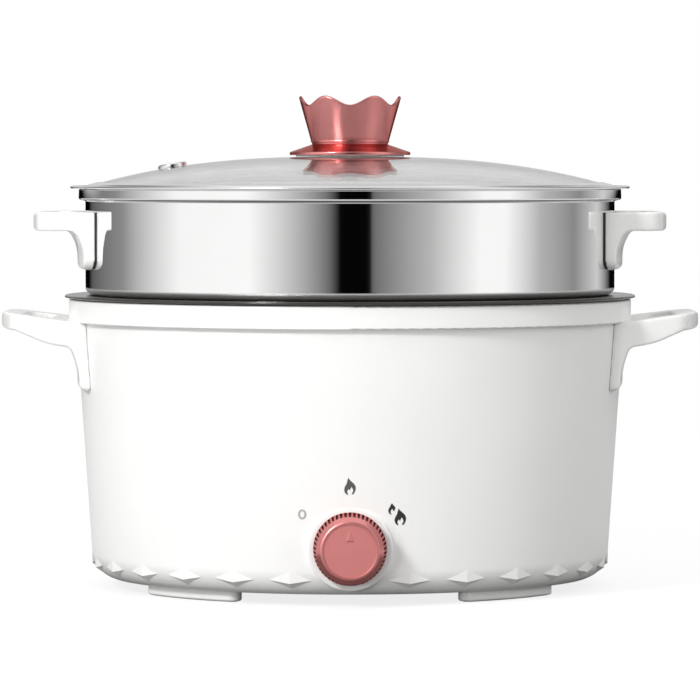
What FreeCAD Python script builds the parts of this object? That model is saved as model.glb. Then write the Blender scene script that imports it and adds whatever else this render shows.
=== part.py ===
import FreeCAD, Part
import math
import os

from FreeCAD import Vector

"""Electric hot pot with a steamer tier and a lift-off glass lid, in millimetres.

Frame: the origin is on the table, on the pot's vertical axis, midway between the feet.
+Z is up, -Y is the front, where the dial is, and +X is the user's right.
Each sub-part is written to parts/NODE.step.
"""

# ---------------------------------------------------------------- driving dimensions
# Shell, the white outer casing
foot_height = 5.3  # table to the shell's lower edge
shell_height = 138.1  # lower edge to the top of the collar
shell_stand_off = 10.7  # pan's mouth to the shell's outside, just under the collar
shell_taper = 7.8  # how much narrower the wall is where it meets the rounded foot
shell_foot_tuck = 8.9  # how much narrower again the shell's lower edge is
shell_round_height = 11.7  # height of the rounded foot
shell_wall = 2.4
collar_step = 3.5  # how far the collar stands out from the wall
collar_height = 11.2
collar_round = 0.8
ledge_width = 3.9  # ledge that the base cover screws against, inside the wall
ledge_thickness = 2.0

# Ornament, a row of four-sided points round the foot of the shell
gem_count = 28
gem_height = 7.2  # side tips above the shell's lower edge
gem_half_width = 10.1
gem_rise = 3.9  # side tips to the upper tip
gem_drop = 4.0  # side tips to the lower tip
gem_sag = 1.6  # side tips to the middle
gem_relief = 2.1  # how far the middle stands off the shell
gem_lift = 0.4  # how far the four corners stand off it
gem_root = 1.2  # depth of each point's root in the shell

# Pan, coated aluminium; its mouth sets the size of everything round it
pan_mouth_r = 126.0
pan_rim_width = 16.3
pan_rim_thickness = 1.4
pan_mouth_round = 1.2
pan_taper = 7.0  # how much narrower the pan is where its wall meets the corner
pan_corner_r = 16.0
pan_wall = 2.0
pan_seal_thickness = 0.6
bay_height = 41.2  # shell's lower edge to the pan's underside: the space for the works

# Steamer tier, stainless sheet
steamer_height = 52.3  # shoulder to the top of the rim
steamer_overlap = 6.0  # how far the wall stands outside the pan's mouth
steamer_sheet = 0.8
steamer_shoulder_r = 3.5
steamer_nest_depth = 16.0  # how far the bottom hangs into the pan
steamer_nest_gap = 1.2  # clearance to the pan's mouth
steamer_nest_round = 5.0
steamer_rim_swell = 3.4  # how far the rim stands out from the wall
steamer_rim_height = 6.1
steamer_rim_slope = 25.0  # degrees: the rim's underside
steamer_rim_crease = 0.6  # rounding between the wall and that underside
steamer_rim_fold = 2.0  # rounding under the rim's widest line
steamer_rim_barrel = 18.0  # rounding above it
hole_r = 2.5  # one steam hole
hole_pitch = 15.5
hole_rings = 6

# Lid
seat_gap = 0.3  # clearance between stacked pieces that lift apart
lid_overhang = 4.1  # how far the lid's flange reaches past the steamer's rim
lid_flange_width = 9.1  # glass's edge to the flange's edge
lid_flange_thickness = 1.4
glass_thickness = 4.0
glass_sink = 0.2  # top of the flange to the glass's outer edge
dome_rise = 14.7
dome_power = 2.6
dome_points = 8  # steps from the glass's middle to its edge
glass_hole_r = 2.8
band_sheet = 0.6
band_grip = 3.6  # how far the band reaches over the glass
glass_gap = 0.1
band_round = 0.3
vent_inset = 41.9  # glass's edge to the middle of the steam vent
vent_r = 7.2
vent_bore_r = 2.5
vent_neck_r = 4.0
vent_height = 2.0
vent_lip = 0.8  # thickness of the eyelet's rolled lip, under the glass
vent_lip_width = 1.6
vent_round = 2.0  # rounding of the flange's outer edge
vent_bore_round = 1.2

# Lid knob
knob_washer_thickness = 0.7
knob_washer_r = 27.0
knob_skirt_r = 30.1
knob_skirt_edge = 1.5
knob_skirt_height = 5.5
knob_skirt_plate = 1.6
knob_skirt_round = 0.4
knob_neck_r = 19.0
knob_neck_step = 0.3  # bevel where the skirt meets the neck
crown_height = 23.9
crown_top_r = 25.7
crown_wall = 1.7
crown_floor = 9.0
crown_points = 6
crown_wave = 4.5  # valley to peak
crown_bead_r = 0.6
crown_bead_height = 1.3
crown_floor_round = 5.0
screw_r = 2.4
screw_gap = 0.1
insert_r = 3.6
insert_length = 7.0
lid_washer_r = 9.5
lid_washer_thickness = 0.8
steel_washer_r = 8.4
steel_washer_thickness = 1.0
knob_screw_head_r = 4.6
knob_screw_head_height = 2.8
knob_screw_round = 1.0
knob_screw_slot = 1.2  # width and depth of the slot

# Pot handles
pot_handle_drop = 10.4  # top of the collar to the handle's top at the wall
pot_handle_rise = 4.6  # how far the grip's tip stands above that
pot_handle_reach = 37.1  # wall to the tip
pot_handle_tip_height = 8.5
pot_handle_length = 34.2  # top at the wall to the lower end of the pad
pot_handle_half_width = 43.5
pot_handle_tip_half_width = 38.5
pot_handle_bow = 8.0  # how far the middle of the tip stands out from its ends
pot_handle_pad_bow = 2.8  # the same for the pad's face
pot_handle_pad_round = 4.0
pot_handle_pad_inset = 0.9  # pad's face inside the wall's widest radius
pot_handle_foot_round = 2.0  # rounding of the pad's lower corners, seen from the tip
# Underside from the tip to the pad, in shares of the pad-to-tip reach: (outwards, down).
# Every second point lies on the round stretch between its neighbours.
pot_handle_belly = (
    (0.816, 0.013), (0.684, 0.068), (0.553, 0.126), (0.382, 0.184), (0.195, 0.218),
    (0.113, 0.255), (0.068, 0.332), (0.03, 0.447), (0.0, 0.6),
)
pot_handle_slopes = (80.0, -85.0)  # where the tip's rounding starts and ends, degrees
pot_handle_bar = 11.8  # wall-to-tip size of the bar that is gripped
pot_handle_hole = 14.0
pot_handle_hole_half_width = 27.0

# Steamer handles
steamer_handle_drop = 11.2  # top of the steamer's rim to the handle's top
steamer_handle_pad = 3.9  # pad's face outside the wall's widest radius
steamer_handle_reach = 21.9  # pad's face to the tip
steamer_handle_bar_height = 9.2
steamer_handle_length = 28.5  # top to the lower end of the pad
steamer_handle_half_width = 43.5
steamer_handle_tip_half_width = 38.5
steamer_handle_bow = 5.0
steamer_handle_pad_bow = 5.3
steamer_handle_foot_round = 6.0
steamer_handle_belly = ((0.36, -0.002), (0.203, 0.046), (0.11, 0.164), (0.028, 0.37), (0.0, 0.589))
steamer_gasket = 0.6  # soft strip between the steel wall and the handle
steamer_gasket_inset = 0.3
steamer_handle_bar = 9.6
steamer_handle_hole = 8.6
steamer_handle_hole_half_width = 27.0

# Shared by all the handles
handle_corner = 13.0  # rounding of the grip's ends in plan
handle_edge = 3.0  # rounding of the grip and of the pad's lower end, from the side

# Handle screws, driven from inside the wall along its radius
handle_screw_angle = 15.0
handle_screw_r = 1.7
handle_screw_length = 11.0
handle_screw_head_r = 3.6
handle_screw_head_height = 2.0
handle_screw_depth = 7.0  # pot handle: axis below the handle's top at the wall

# Dial and its switch
dial_z = 28.0
boss_r = 20.4
boss_stand = 2.1  # how far the boss's face stands out from the foot of the wall
boss_round = 1.2
boss_plate = 3.0
switch_pocket_r = 17.0
dial_gap = 0.7
dial_r = 17.5
dial_front_r = 16.4  # skirt's radius where the bevel starts
dial_height = 14.6
dial_face_r = 14.2  # bevel's inner edge
dial_cap_r = 12.6
dial_cap_thickness = 1.2
dial_wall = 2.4
dial_hub_r = 5.6
dial_round = 0.4
dial_rim_height = 0.1  # rounded rim past the dial's height
dial_rim_round = 1.5
dial_corner = 2.0  # slanted corner at the bottom of the hollow
knurl_count = 50
knurl_r = 0.6
knurl_flange = 1.2  # plain ring behind the knurling
pointer_height = 5.8
pointer_half_width = 2.3
pointer_rise = 0.5  # how far the pointer stands out from the face
pointer_bevel = 0.6  # share of the pointer's outline that its flat top keeps
pointer_ring_r = 7.2  # dial axis to the middle of the pointer
face_sink = 0.4  # face disc below the front of the rim
bushing_r = 4.8
bushing_length = 6.4
hub_gap = 1.2  # bushing's end to the dial's hub
nut_thickness = 2.4
nut_r = 8.2
shaft_r = 3.0
shaft_fit = 0.05
shaft_flat = 0.6
shaft_length_in_switch = 12.0
shaft_cover = 1.0  # dial's hub past the end of the shaft
rotor_r = 7.5
rotor_length = 5.0
lobe_width = 4.0
lobe_rise = 1.2
chamber_gap = 2.2  # rotor to the wall of its chamber
switch_round = 2.0
switch_width = 24.0
switch_height = 22.0
switch_depth = 23.0
blade_width = 4.8
blade_thickness = 0.8
blade_length = 7.0
blade_pitch = 7.5

# Heating and protection, under the pan
spreader_inset = 39.0  # foot of the pan's wall to the spreader's edge
spreader_thickness = 4.0
outer_ring_inset = 14.0  # spreader's edge to the middle of the outer ring
inner_ring_gap = 32.0  # thermostat's body to the middle of the inner ring
heater_gap_angles = (16.0, 24.0)  # half of each ring's gap, at the back
heater_r = 3.5
heater_sink = 2.5  # how deep each ring lies in the spreader
heater_bend = 6.0
heater_leg_end = 13.5  # pan's underside to the end of a leg
bead_r = 4.0
bead_length = 3.5
pin_r = 1.25
pin_length = 7.5
bridge_drop = 0.6  # under the ceramic ends
bridge_width = 6.0
bridge_thickness = 0.8
shield_inset = 23.0  # foot of the pan's wall to the shield's edge
shield_hole_step = 2.0  # the shield's hole is this much smaller than the inner ring
shield_leg_gap = 1.0
shield_thickness = 0.6
shield_drop = 11.9  # pan's underside to the shield's upper face
thermostat_r = 10.0
thermostat_height = 9.0
thermostat_ear = 17.0
thermostat_ear_width = 11.0
thermostat_ear_round = 4.0
thermostat_ear_thickness = 1.0
thermostat_screw_x = 14.0
small_screw_r = 1.4
small_screw_head_r = 2.6
small_screw_head_height = 1.6
small_screw_length = 3.0
fuse_r = 2.2
fuse_length = 11.0
fuse_x = -22.0
fuse_y = 9.0
fuse_gap = 0.4  # fuse to the spreader
fuse_lead_r = 0.5
fuse_strap = 0.5  # thickness of the clip's strap
fuse_strap_width = 6.0
fuse_strap_reach = 7.2

# Base
cover_recess = 1.3
cover_thickness = 2.4
cover_gap = 0.3
cover_slots = 12
slot_width = 3.0
slot_length = 20.0
slot_inner_r = 40.0
slot_end_round = 1.47
post_inset = 31.0  # foot of the pan's wall to the posts
post_r = 5.0
post_neck_r = 3.4
clip_r = 6.5
clip_thickness = 0.8
cover_boss_r = 6.5
cover_boss_height = 6.9
counterbore_r = 4.4
counterbore_depth = 4.2
base_screw_head_r = 3.8
base_screw_head_height = 2.4
base_screw_socket_r = 1.6
base_screw_socket_depth = 1.2
base_screw_r = 1.9
base_screw_length = 12.0
foot_inset = 3.4  # shell's lower edge to the feet
foot_width = 9.5
foot_angle = 46.3  # degrees from the sides to each foot
foot_span = 31.0  # degrees
foot_round = 4.4
foot_edge_round = 1.2
foot_pad_inset = 2.2
foot_pad_thickness = 1.0
foot_pad_proud = 0.3

# Power inlet, at the back
inlet_z = 31.0
inlet_stand = 3.1  # how far the inlet's pad stands out from the foot of the wall
inlet_pad_round = 4.5
inlet_pad_width = 48.0
inlet_pad_height = 27.0
inlet_flange_thickness = 2.0
inlet_flange_margin = 1.5
inlet_mouth_width = 25.0
inlet_mouth_height = 17.0
inlet_wall = 2.6
inlet_mouth_round = 2.0
inlet_body_round = 2.5
inlet_depth = 17.0
inlet_back = 2.5
inlet_pin_thickness = 2.0
inlet_pin_height = 4.0
inlet_pin_pitch = 14.0
inlet_pin_offset = 2.0
inlet_pin_recess = 2.5
inlet_tab_length = 8.0
inlet_screw_x = 19.2
inlet_screw_r = 1.4
inlet_screw_head_r = 2.6
inlet_screw_sink = 0.1  # head's top below the flange's face
inlet_screw_head_height = 0.9
inlet_screw_length = 6.0

# Wiring
wire_r = 1.1
wire_straight = 8.0  # straight run at a terminal
fuse_lead_straight = 6.0
wire_bend = 0.45  # share of the shorter run that a bend takes
wire_low = 4.0  # height of the lower wires over the base cover
wire_high = 10.0
tag_rise = 11.0  # height of the earth tag over the base cover
tag_thickness = 1.2
tag_collar = 2.4  # width of the ring round the post
tag_tongue = 6.0
tag_tongue_width = 4.0

# Used all over
touch = 0.1  # gap left where a round end meets a round side
past = 1.0  # how far a cut runs past the face that it opens
same_place = 1e-6  # points nearer than this are one
window_round = 0.4  # share of a handle's hole that its corners round off
pad_root = 0.8  # share of a pad's radius at which its profile starts, inside the wall

# ---------------------------------------------------------------- derived levels
shell_high_r = pan_mouth_r + shell_stand_off
shell_low_r = shell_high_r - shell_taper
shell_foot_r = shell_low_r - shell_foot_tuck
collar_r = shell_high_r + collar_step
ledge_r = shell_foot_r - shell_wall - ledge_width
pan_rim_r = pan_mouth_r + pan_rim_width
pan_floor_r = pan_mouth_r - pan_taper
steamer_wall_r = pan_mouth_r + steamer_overlap
steamer_rim_r = steamer_wall_r + steamer_rim_swell
lid_r = steamer_rim_r + lid_overhang
glass_r = lid_r - lid_flange_width
vent_ring_r = glass_r - vent_inset
boss_y = shell_low_r + boss_stand
inlet_pad_y = shell_low_r + inlet_stand
inlet_front_y = inlet_pad_y + inlet_flange_thickness
spreader_r = pan_floor_r - spreader_inset
heater_ring_radii = (spreader_r - outer_ring_inset, thermostat_r + inner_ring_gap)
shield_hole_r = heater_ring_radii[1] - shield_hole_step
shield_r = pan_floor_r - shield_inset
post_ring_r = pan_floor_r - post_inset
foot_outer_r = shell_foot_r - foot_inset
foot_inner_r = foot_outer_r - foot_width
shell_top = foot_height + shell_height
collar_bottom = shell_top - collar_height
wall_bottom = foot_height + shell_round_height
rim_top = shell_top + pan_seal_thickness + pan_rim_thickness
pan_under = foot_height + bay_height
pan_floor = pan_under + pan_wall
steamer_shoulder = rim_top + seat_gap
steamer_top = steamer_shoulder + steamer_height
nest_r = pan_mouth_r - steamer_nest_gap
steamer_floor = rim_top - steamer_nest_depth
lid_seat = steamer_top + seat_gap
lid_flange_top = lid_seat + lid_flange_thickness
glass_rim_z = lid_flange_top - glass_sink
dome_top = glass_rim_z + dome_rise
washer_dip = dome_rise * (lid_washer_r / glass_r) ** dome_power
glass_under = dome_top - washer_dip - glass_thickness
skirt_bottom = dome_top + knob_washer_thickness
crown_bottom = skirt_bottom + knob_skirt_height
crown_top = crown_bottom + crown_height
cover_bottom = foot_height + cover_recess
cover_top = cover_bottom + cover_thickness
post_bottom = cover_bottom + cover_boss_height
shield_top = pan_under - shield_drop
spreader_under = pan_under - spreader_thickness
heater_z = spreader_under + heater_sink - heater_r
gem_z = foot_height + gem_height
dial_front = dial_gap + dial_height
bushing_end = bushing_length - boss_plate
hub_back = bushing_end + hub_gap
flat_start_y = -boss_y - bushing_end - hub_gap / 2
shaft_tip_y = -boss_y - dial_front + dial_cap_thickness + dial_wall - shaft_cover
switch_front_y = -boss_y + boss_plate
switch_back_y = switch_front_y + switch_depth
post_angles = (45.0, 135.0, 225.0, 315.0)
foot_angles = (foot_angle, 180 - foot_angle, 180 + foot_angle, 360 - foot_angle)

X, Y, Z = Vector(1, 0, 0), Vector(0, 1, 0), Vector(0, 0, 1)
ORIGIN = Vector(0, 0, 0)


# ---------------------------------------------------------------- helpers
def export(node, *solids):
    """Writes one sub-part; several solids share the node as a group."""
    shape = solids[0] if len(solids) == 1 else Part.makeCompound(list(solids))
    shape.exportStep(f"parts/{node}.step")


def arc(middle, end):
    """In an outline: a round stretch from the point before, through middle, to end."""
    return {"middle": middle, "end": end}


def bend_at(centre_r, centre_z, radius, start, end):
    """Part of an outline: a round corner from one angle to another about a centre."""
    steps = (start, (start + end) / 2, end)
    first, middle, last = [
        (
            centre_r + radius * math.cos(math.radians(a)),
            centre_z + radius * math.sin(math.radians(a)),
        )
        for a in steps
    ]
    return [first, arc(middle, last)]


def outline(stretches, place):
    """A closed wire from points and arcs; place turns a pair of numbers into a Vector."""
    edges, here = [], place(*stretches[0])
    first = here
    for stretch in stretches[1:]:
        if isinstance(stretch, dict):
            end = place(*stretch["end"])
            edges.append(Part.Arc(here, place(*stretch["middle"]), end).toShape())
        else:
            end = place(*stretch)
            if (end - here).Length > same_place:
                edges.append(Part.LineSegment(here, end).toShape())
        here = end
    if (here - first).Length > same_place:
        edges.append(Part.LineSegment(here, first).toShape())
    return Part.Wire(edges)


def lathe(stretches, turn=360):
    """Turns an outline of (radius, height) about the pot's axis."""
    face = Part.Face(outline(stretches, lambda r, z: Vector(r, 0, z)))
    return face.revolve(ORIGIN, Z, turn)


def ring(inner_r, outer_r, low, high):
    return lathe([(inner_r, low), (outer_r, low), (outer_r, high), (inner_r, high)])


def rod(radius, start, end):
    """A round bar between two points."""
    start, end = Vector(*start), Vector(*end)
    return Part.makeCylinder(radius, (end - start).Length, start, end - start)


def block(low, high):
    low, high = Vector(*low), Vector(*high)
    size = high - low
    return Part.makeBox(size.x, size.y, size.z, low)


def turned(shape, degrees, centre=ORIGIN, axis=Z):
    copy = shape.copy()
    copy.rotate(centre, axis, degrees)
    return copy


def rounded(shape, radius, chosen):
    """Fillets the edges for which chosen(edge) is true."""
    return shape.makeFillet(radius, [e for e in shape.Edges if chosen(e)])


def along(edge, axis):
    """True for a straight edge parallel to axis."""
    if not isinstance(edge.Curve, Part.Line):
        return False
    return abs(abs(edge.tangentAt(edge.FirstParameter).dot(axis)) - 1) < 1e-6


def rounded_block(low, high, radius, axis):
    return rounded(block(low, high), radius, lambda e: along(e, axis))


def bent_wire(points):
    """A wire of straight runs joined by tangent arcs as large as the runs allow."""
    points = [Vector(*p) for p in points]
    edges, here = [], points[0]
    for before, corner, after in zip(points, points[1:], points[2:]):
        back, ahead = before - corner, after - corner
        shorter = min(back.Length, ahead.Length)
        back.normalize()
        ahead.normalize()
        reach = wire_bend * shorter
        start, end = corner + back * reach, corner + ahead * reach
        half_turn = (math.pi - back.getAngle(ahead)) / 2
        radius = reach / math.tan(half_turn)
        inward = (back + ahead).normalize()
        centre = corner + inward * (radius / math.cos(half_turn))
        edges.append(Part.LineSegment(here, start).toShape())
        edges.append(Part.Arc(start, centre - inward * radius, end).toShape())
        here = end
    edges.append(Part.LineSegment(here, points[-1]).toShape())
    return Part.Wire(edges)


def tube(path, radius):
    """Sweeps a round section along a wire."""
    first = path.OrderedEdges[0]
    start = first.valueAt(first.FirstParameter)
    along_path = first.tangentAt(first.FirstParameter)
    section = Part.Wire(Part.makeCircle(radius, start, along_path))
    return path.makePipeShell([section], True, True)


def polar(distance, degrees, height=0.0):
    angle = math.radians(degrees)
    return Vector(distance * math.cos(angle), distance * math.sin(angle), height)


def wall_r(height):
    """Outer radius of the shell's tapered wall at a height."""
    share = (height - wall_bottom) / (collar_bottom - wall_bottom)
    return shell_low_r + share * (shell_high_r - shell_low_r)


def dome_z(radius):
    """Height of the glass's upper face."""
    return dome_top - dome_rise * (radius / glass_r) ** dome_power


# ---------------------------------------------------------------- shell
def round_foot():
    """The arc from the shell's lower edge that runs on into the tapered wall."""
    start, end = Vector(shell_foot_r, foot_height), Vector(shell_low_r, wall_bottom)
    taper = Vector(shell_high_r - shell_low_r, collar_bottom - wall_bottom).normalize()
    inward = Vector(-taper.y, taper.x)
    chord = start - end
    radius = chord.Length**2 / (2 * chord.dot(inward))
    centre = end + inward * radius
    middle = centre + ((start + end) / 2 - centre).normalize() * radius
    return centre, radius, arc((middle.x, middle.y), (end.x, end.y))


def foot_surface_r(height):
    """Outer radius of the shell's rounded foot at a height."""
    centre, radius, _ = round_foot()
    return centre.x + math.sqrt(radius**2 - (height - centre.y) ** 2)


def shell_surface_r(height):
    return foot_surface_r(height) if height < wall_bottom else wall_r(height)


def shell_outside():
    """The shell's outer outline from its lower edge to its top edge."""
    turn = collar_round
    return (
        [(shell_foot_r, foot_height), round_foot()[2], (shell_high_r, collar_bottom)]
        + bend_at(collar_r - turn, collar_bottom + turn, turn, -90, 0)
        + bend_at(collar_r - turn, shell_top - turn, turn, 0, 90)
    )


def shell_envelope():
    """The shell without its hollow, for fitting pieces against its outside."""
    return lathe(shell_outside() + [(0, shell_top), (0, foot_height)])


def gem(degrees):
    """One four-sided point; its root lies inside the wall."""
    surface = foot_surface_r(gem_z)
    upper, lower, middle_z = gem_z + gem_rise, gem_z - gem_drop, gem_z - gem_sag
    spread = math.degrees(gem_half_width / surface)
    middle = polar(foot_surface_r(middle_z) + gem_relief, degrees, middle_z)
    root = polar(surface - gem_root, degrees, gem_z)
    corners = [
        polar(shell_surface_r(upper) + gem_lift, degrees, upper),
        polar(surface + gem_lift, degrees + spread, gem_z),
        polar(shell_surface_r(lower) + gem_lift, degrees, lower),
        polar(surface + gem_lift, degrees - spread, gem_z),
    ]
    faces = []
    for one, other in zip(corners, corners[1:] + corners[:1]):
        for tip in (middle, root):
            faces.append(Part.Face(Part.makePolygon([one, other, tip, one])))
    solid = Part.Solid(Part.Shell(faces))
    return solid if solid.Volume > 0 else solid.reversed()


def shell():
    inner_high_r = shell_high_r - shell_wall
    inner_low_r = shell_low_r - shell_wall
    cover_opening_r = shell_foot_r - shell_wall
    body = lathe(
        shell_outside()
        + [
            (inner_high_r, shell_top),
            (inner_high_r, collar_bottom),
            (inner_low_r, wall_bottom),
            (inner_low_r - shell_wall, cover_top + ledge_thickness),
            (ledge_r, cover_top + ledge_thickness),
            (ledge_r, cover_top),
            (cover_opening_r, cover_top),
            (cover_opening_r, foot_height),
        ]
    )
    boss_root = foot_surface_r(dial_z - boss_r + boss_round) - shell_wall
    boss = rod(boss_r, (0, -boss_root, dial_z), (0, -boss_y, dial_z))
    boss = rounded(
        boss, boss_round, lambda e: abs(e.CenterOfMass.y + boss_y) < 1e-3 and e.Closed
    )
    pad_root = wall_r(inlet_z) - shell_wall
    half_width, half_height = inlet_pad_width / 2, inlet_pad_height / 2
    pad = rounded_block(
        (-half_width, pad_root, inlet_z - half_height),
        (half_width, inlet_pad_y, inlet_z + half_height),
        inlet_pad_round,
        Y,
    )
    gems = [gem(-90 + 360 / gem_count * n) for n in range(1, gem_count)]
    body = body.fuse([boss, pad] + gems)
    pocket = rod(
        switch_pocket_r,
        (0, -boss_y + boss_plate + switch_depth, dial_z),
        (0, -boss_y + boss_plate, dial_z),
    )
    bushing_hole = rod(bushing_r + screw_gap, (0, -boss_y - past, dial_z), (0, 0, dial_z))
    cuts = [pocket, bushing_hole, inlet_body(screw_gap)]
    cuts += [inlet_screw(side, screw_gap) for side in (-1, 1)]
    cuts += [handle_screw(*place, screw_gap) for place in pot_handle_screw_places()]
    return body.cut(cuts)


# ---------------------------------------------------------------- pan
def pan():
    """Down the inside from the flat rim to the floor, and back up the outside."""
    corner_r, corner_z = pan_floor_r - pan_corner_r, pan_floor + pan_corner_r
    edge, mouth = pan_rim_thickness / 2, pan_mouth_round
    section = (
        bend_at(corner_r, corner_z, pan_corner_r, -90, 0)
        + bend_at(pan_mouth_r + mouth, rim_top - mouth, mouth, 180, 90)
        + bend_at(pan_rim_r - edge, rim_top - edge, edge, 90, -90)
        + [(pan_mouth_r + pan_wall, rim_top - pan_rim_thickness)]
        + bend_at(corner_r, corner_z, pan_corner_r + pan_wall, 0, -90)
        + [(0, pan_under), (0, pan_floor)]
    )
    return lathe(section)


def pan_seal():
    return ring(
        shell_high_r - shell_wall, collar_r - collar_round, shell_top,
        shell_top + pan_seal_thickness,
    )


# ---------------------------------------------------------------- handles
def belly_profile(pad_x, tip_x, under, low, turn, shares):
    """Side view of a pad and of the curve that carries it out under the grip."""
    reach, inner_x, high = tip_x - pad_x, pad_x * pad_root, under + past
    points = [(pad_x + out * reach, under - down * reach) for out, down in shares]
    curve = [arc(middle, end) for middle, end in zip(points[1::2], points[2::2])]
    start = [(inner_x, high), (points[0][0], high), points[0]]
    return start + curve + bend_at(pad_x - turn, low + turn, turn, 0, -90) + [(inner_x, low)]


def bowed_pad(profile, pad_x, bow, half_width, low, corner):
    """A side view turned about an upright axis behind the wall, so that it bows outwards."""
    radius = (half_width**2 + bow**2) / (2 * bow)
    centre = Vector(pad_x - radius, 0, 0)
    inner_x, high = profile[0]
    spread = math.degrees(math.atan2(half_width, inner_x - centre.x))
    face = Part.Face(outline(profile, lambda x, z: Vector(x, 0, z)))
    pad = turned(face, -spread, centre).revolve(centre, Z, 2 * spread)
    return pad.common(pad_trim(2 * pad_x, half_width, low, high, corner))


def pad_trim(far_x, half_width, low, high, corner):
    """Everything inside a pad's outline as seen from the tip: only its lower corners count."""
    top = high + 2 * corner
    return rounded_block((0, -half_width, low), (far_x, half_width, top), corner, X)


def grip(side, pad, tip_x, half_width, tip_half_width, bow):
    """A handle without its window: a side view pushed across, a pad and a rounded plan."""
    shoulder = tip_x - 2 * handle_corner
    plan = [
        (0, -half_width),
        (shoulder, -half_width),
        (tip_x - bow, -tip_half_width),
        arc((tip_x, 0), (tip_x - bow, tip_half_width)),
        (shoulder, half_width),
        (0, half_width),
    ]
    bar = Part.Face(outline(side, lambda x, z: Vector(x, -half_width, z)))
    bar = bar.extrude(Vector(0, 2 * half_width, 0))
    trim = Part.Face(outline(plan, lambda x, y: Vector(x, y, 0))).extrude(Z * lid_seat)
    trim = rounded(
        trim, handle_corner, lambda e: along(e, Z) and e.CenterOfMass.x > shoulder + past
    )
    return bar.fuse(pad).common(trim)


def window(tip_x, bar, hole, hole_half_width):
    """The finger hole, cut straight down."""
    return rounded_block(
        (tip_x - bar - hole, -hole_half_width, 0),
        (tip_x - bar, hole_half_width, lid_seat),
        hole * window_round,
        Z,
    )


def handle_screw(wall, height, degrees, gap=0.0):
    """A screw along the wall's radius, head inside; with a gap it is the hole's shape."""
    head_end = wall + touch + gap
    head = rod(
        handle_screw_head_r + gap,
        polar(wall - handle_screw_head_height + gap, degrees, height),
        polar(wall, degrees, height),
    )
    shank = rod(
        handle_screw_r + gap,
        polar(wall - touch, degrees, height),
        polar(wall + handle_screw_length + gap, degrees, height),
    )
    return shank if gap else head.fuse(shank)


def pot_handle_screw_places():
    height = shell_top - pot_handle_drop - handle_screw_depth
    wall = wall_r(height - handle_screw_head_r) - shell_wall - touch
    angles = [side + sign * handle_screw_angle for side in (0, 180) for sign in (-1, 1)]
    return [(wall, height, angle) for angle in angles]


def steamer_handle_screw_places():
    height = steamer_top - steamer_handle_drop - steamer_handle_bar_height / 2
    wall = steamer_wall_r - steamer_sheet - touch
    angles = [side + sign * handle_screw_angle for side in (0, 180) for sign in (-1, 1)]
    return [(wall, height, angle) for angle in angles]


def pot_handle():
    """Right-hand pot handle: a grip that rises to its tip, on a pad that hugs the wall."""
    root = shell_top - pot_handle_drop
    top = root + pot_handle_rise
    under = top - pot_handle_tip_height
    low = root - pot_handle_length
    wall, turn, half_width = shell_high_r, handle_edge, pot_handle_half_width
    tip, pad_x = wall + pot_handle_reach, wall - pot_handle_pad_inset
    profile = belly_profile(pad_x, tip, under, low, pot_handle_pad_round, pot_handle_belly)
    start, end = pot_handle_slopes
    _, _, (bar_end_x, bar_end_z) = profile[:3]
    side = (
        [(0, root), (wall, root)]
        + bend_at(tip - turn, top - turn, turn, start, 0)
        + bend_at(tip - turn, under + turn, turn, 0, end)
        + [(bar_end_x, bar_end_z), (0, bar_end_z)]
    )
    pad = bowed_pad(profile, pad_x, pot_handle_pad_bow, half_width, low, pot_handle_foot_round)
    handle = grip(side, pad, tip, half_width, pot_handle_tip_half_width, pot_handle_bow)
    opening = window(tip, pot_handle_bar, pot_handle_hole, pot_handle_hole_half_width)
    holes = [handle_screw(*p, screw_gap) for p in pot_handle_screw_places()[:2]]
    return handle.cut([opening, shell_envelope()] + holes).removeSplitter()


def steamer_handle():
    """Right-hand steamer handle: a level grip on a pad, clear of the steel by its gasket."""
    top = steamer_top - steamer_handle_drop
    under = top - steamer_handle_bar_height
    low = top - steamer_handle_length
    turn, half_width = handle_edge, steamer_handle_half_width
    pad_x = steamer_wall_r + steamer_handle_pad
    tip = pad_x + steamer_handle_reach
    profile = belly_profile(pad_x, tip, under, low, turn, steamer_handle_belly)
    side = (
        [(0, top)]
        + bend_at(tip - turn, top - turn, turn, 90, 0)
        + bend_at(tip - turn, under + turn, turn, 0, -90)
        + [(0, under)]
    )
    corner = steamer_handle_foot_round
    pad = bowed_pad(profile, pad_x, steamer_handle_pad_bow, half_width, low, corner)
    handle = grip(side, pad, tip, half_width, steamer_handle_tip_half_width, steamer_handle_bow)
    opening = window(
        tip, steamer_handle_bar, steamer_handle_hole, steamer_handle_hole_half_width
    )
    wall = rod(steamer_wall_r + steamer_gasket, (0, 0, low - past), (0, 0, top + past))
    holes = [handle_screw(*p, screw_gap) for p in steamer_handle_screw_places()[:2]]
    return handle.cut([opening, wall] + holes).removeSplitter()


def steamer_handle_gasket():
    """Soft strip between the steel wall and the right-hand handle, just inside its outline."""
    inset = steamer_gasket_inset
    top = steamer_top - steamer_handle_drop - inset
    low = top + 2 * inset - steamer_handle_length
    half_width, corner = steamer_handle_half_width - inset, steamer_handle_foot_round - inset
    strip = ring(steamer_wall_r + touch, steamer_wall_r + steamer_gasket, low - past, top)
    holes = [handle_screw(*p, screw_gap) for p in steamer_handle_screw_places()[:2]]
    return strip.common(pad_trim(2 * steamer_wall_r, half_width, low, top, corner)).cut(holes)


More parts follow.
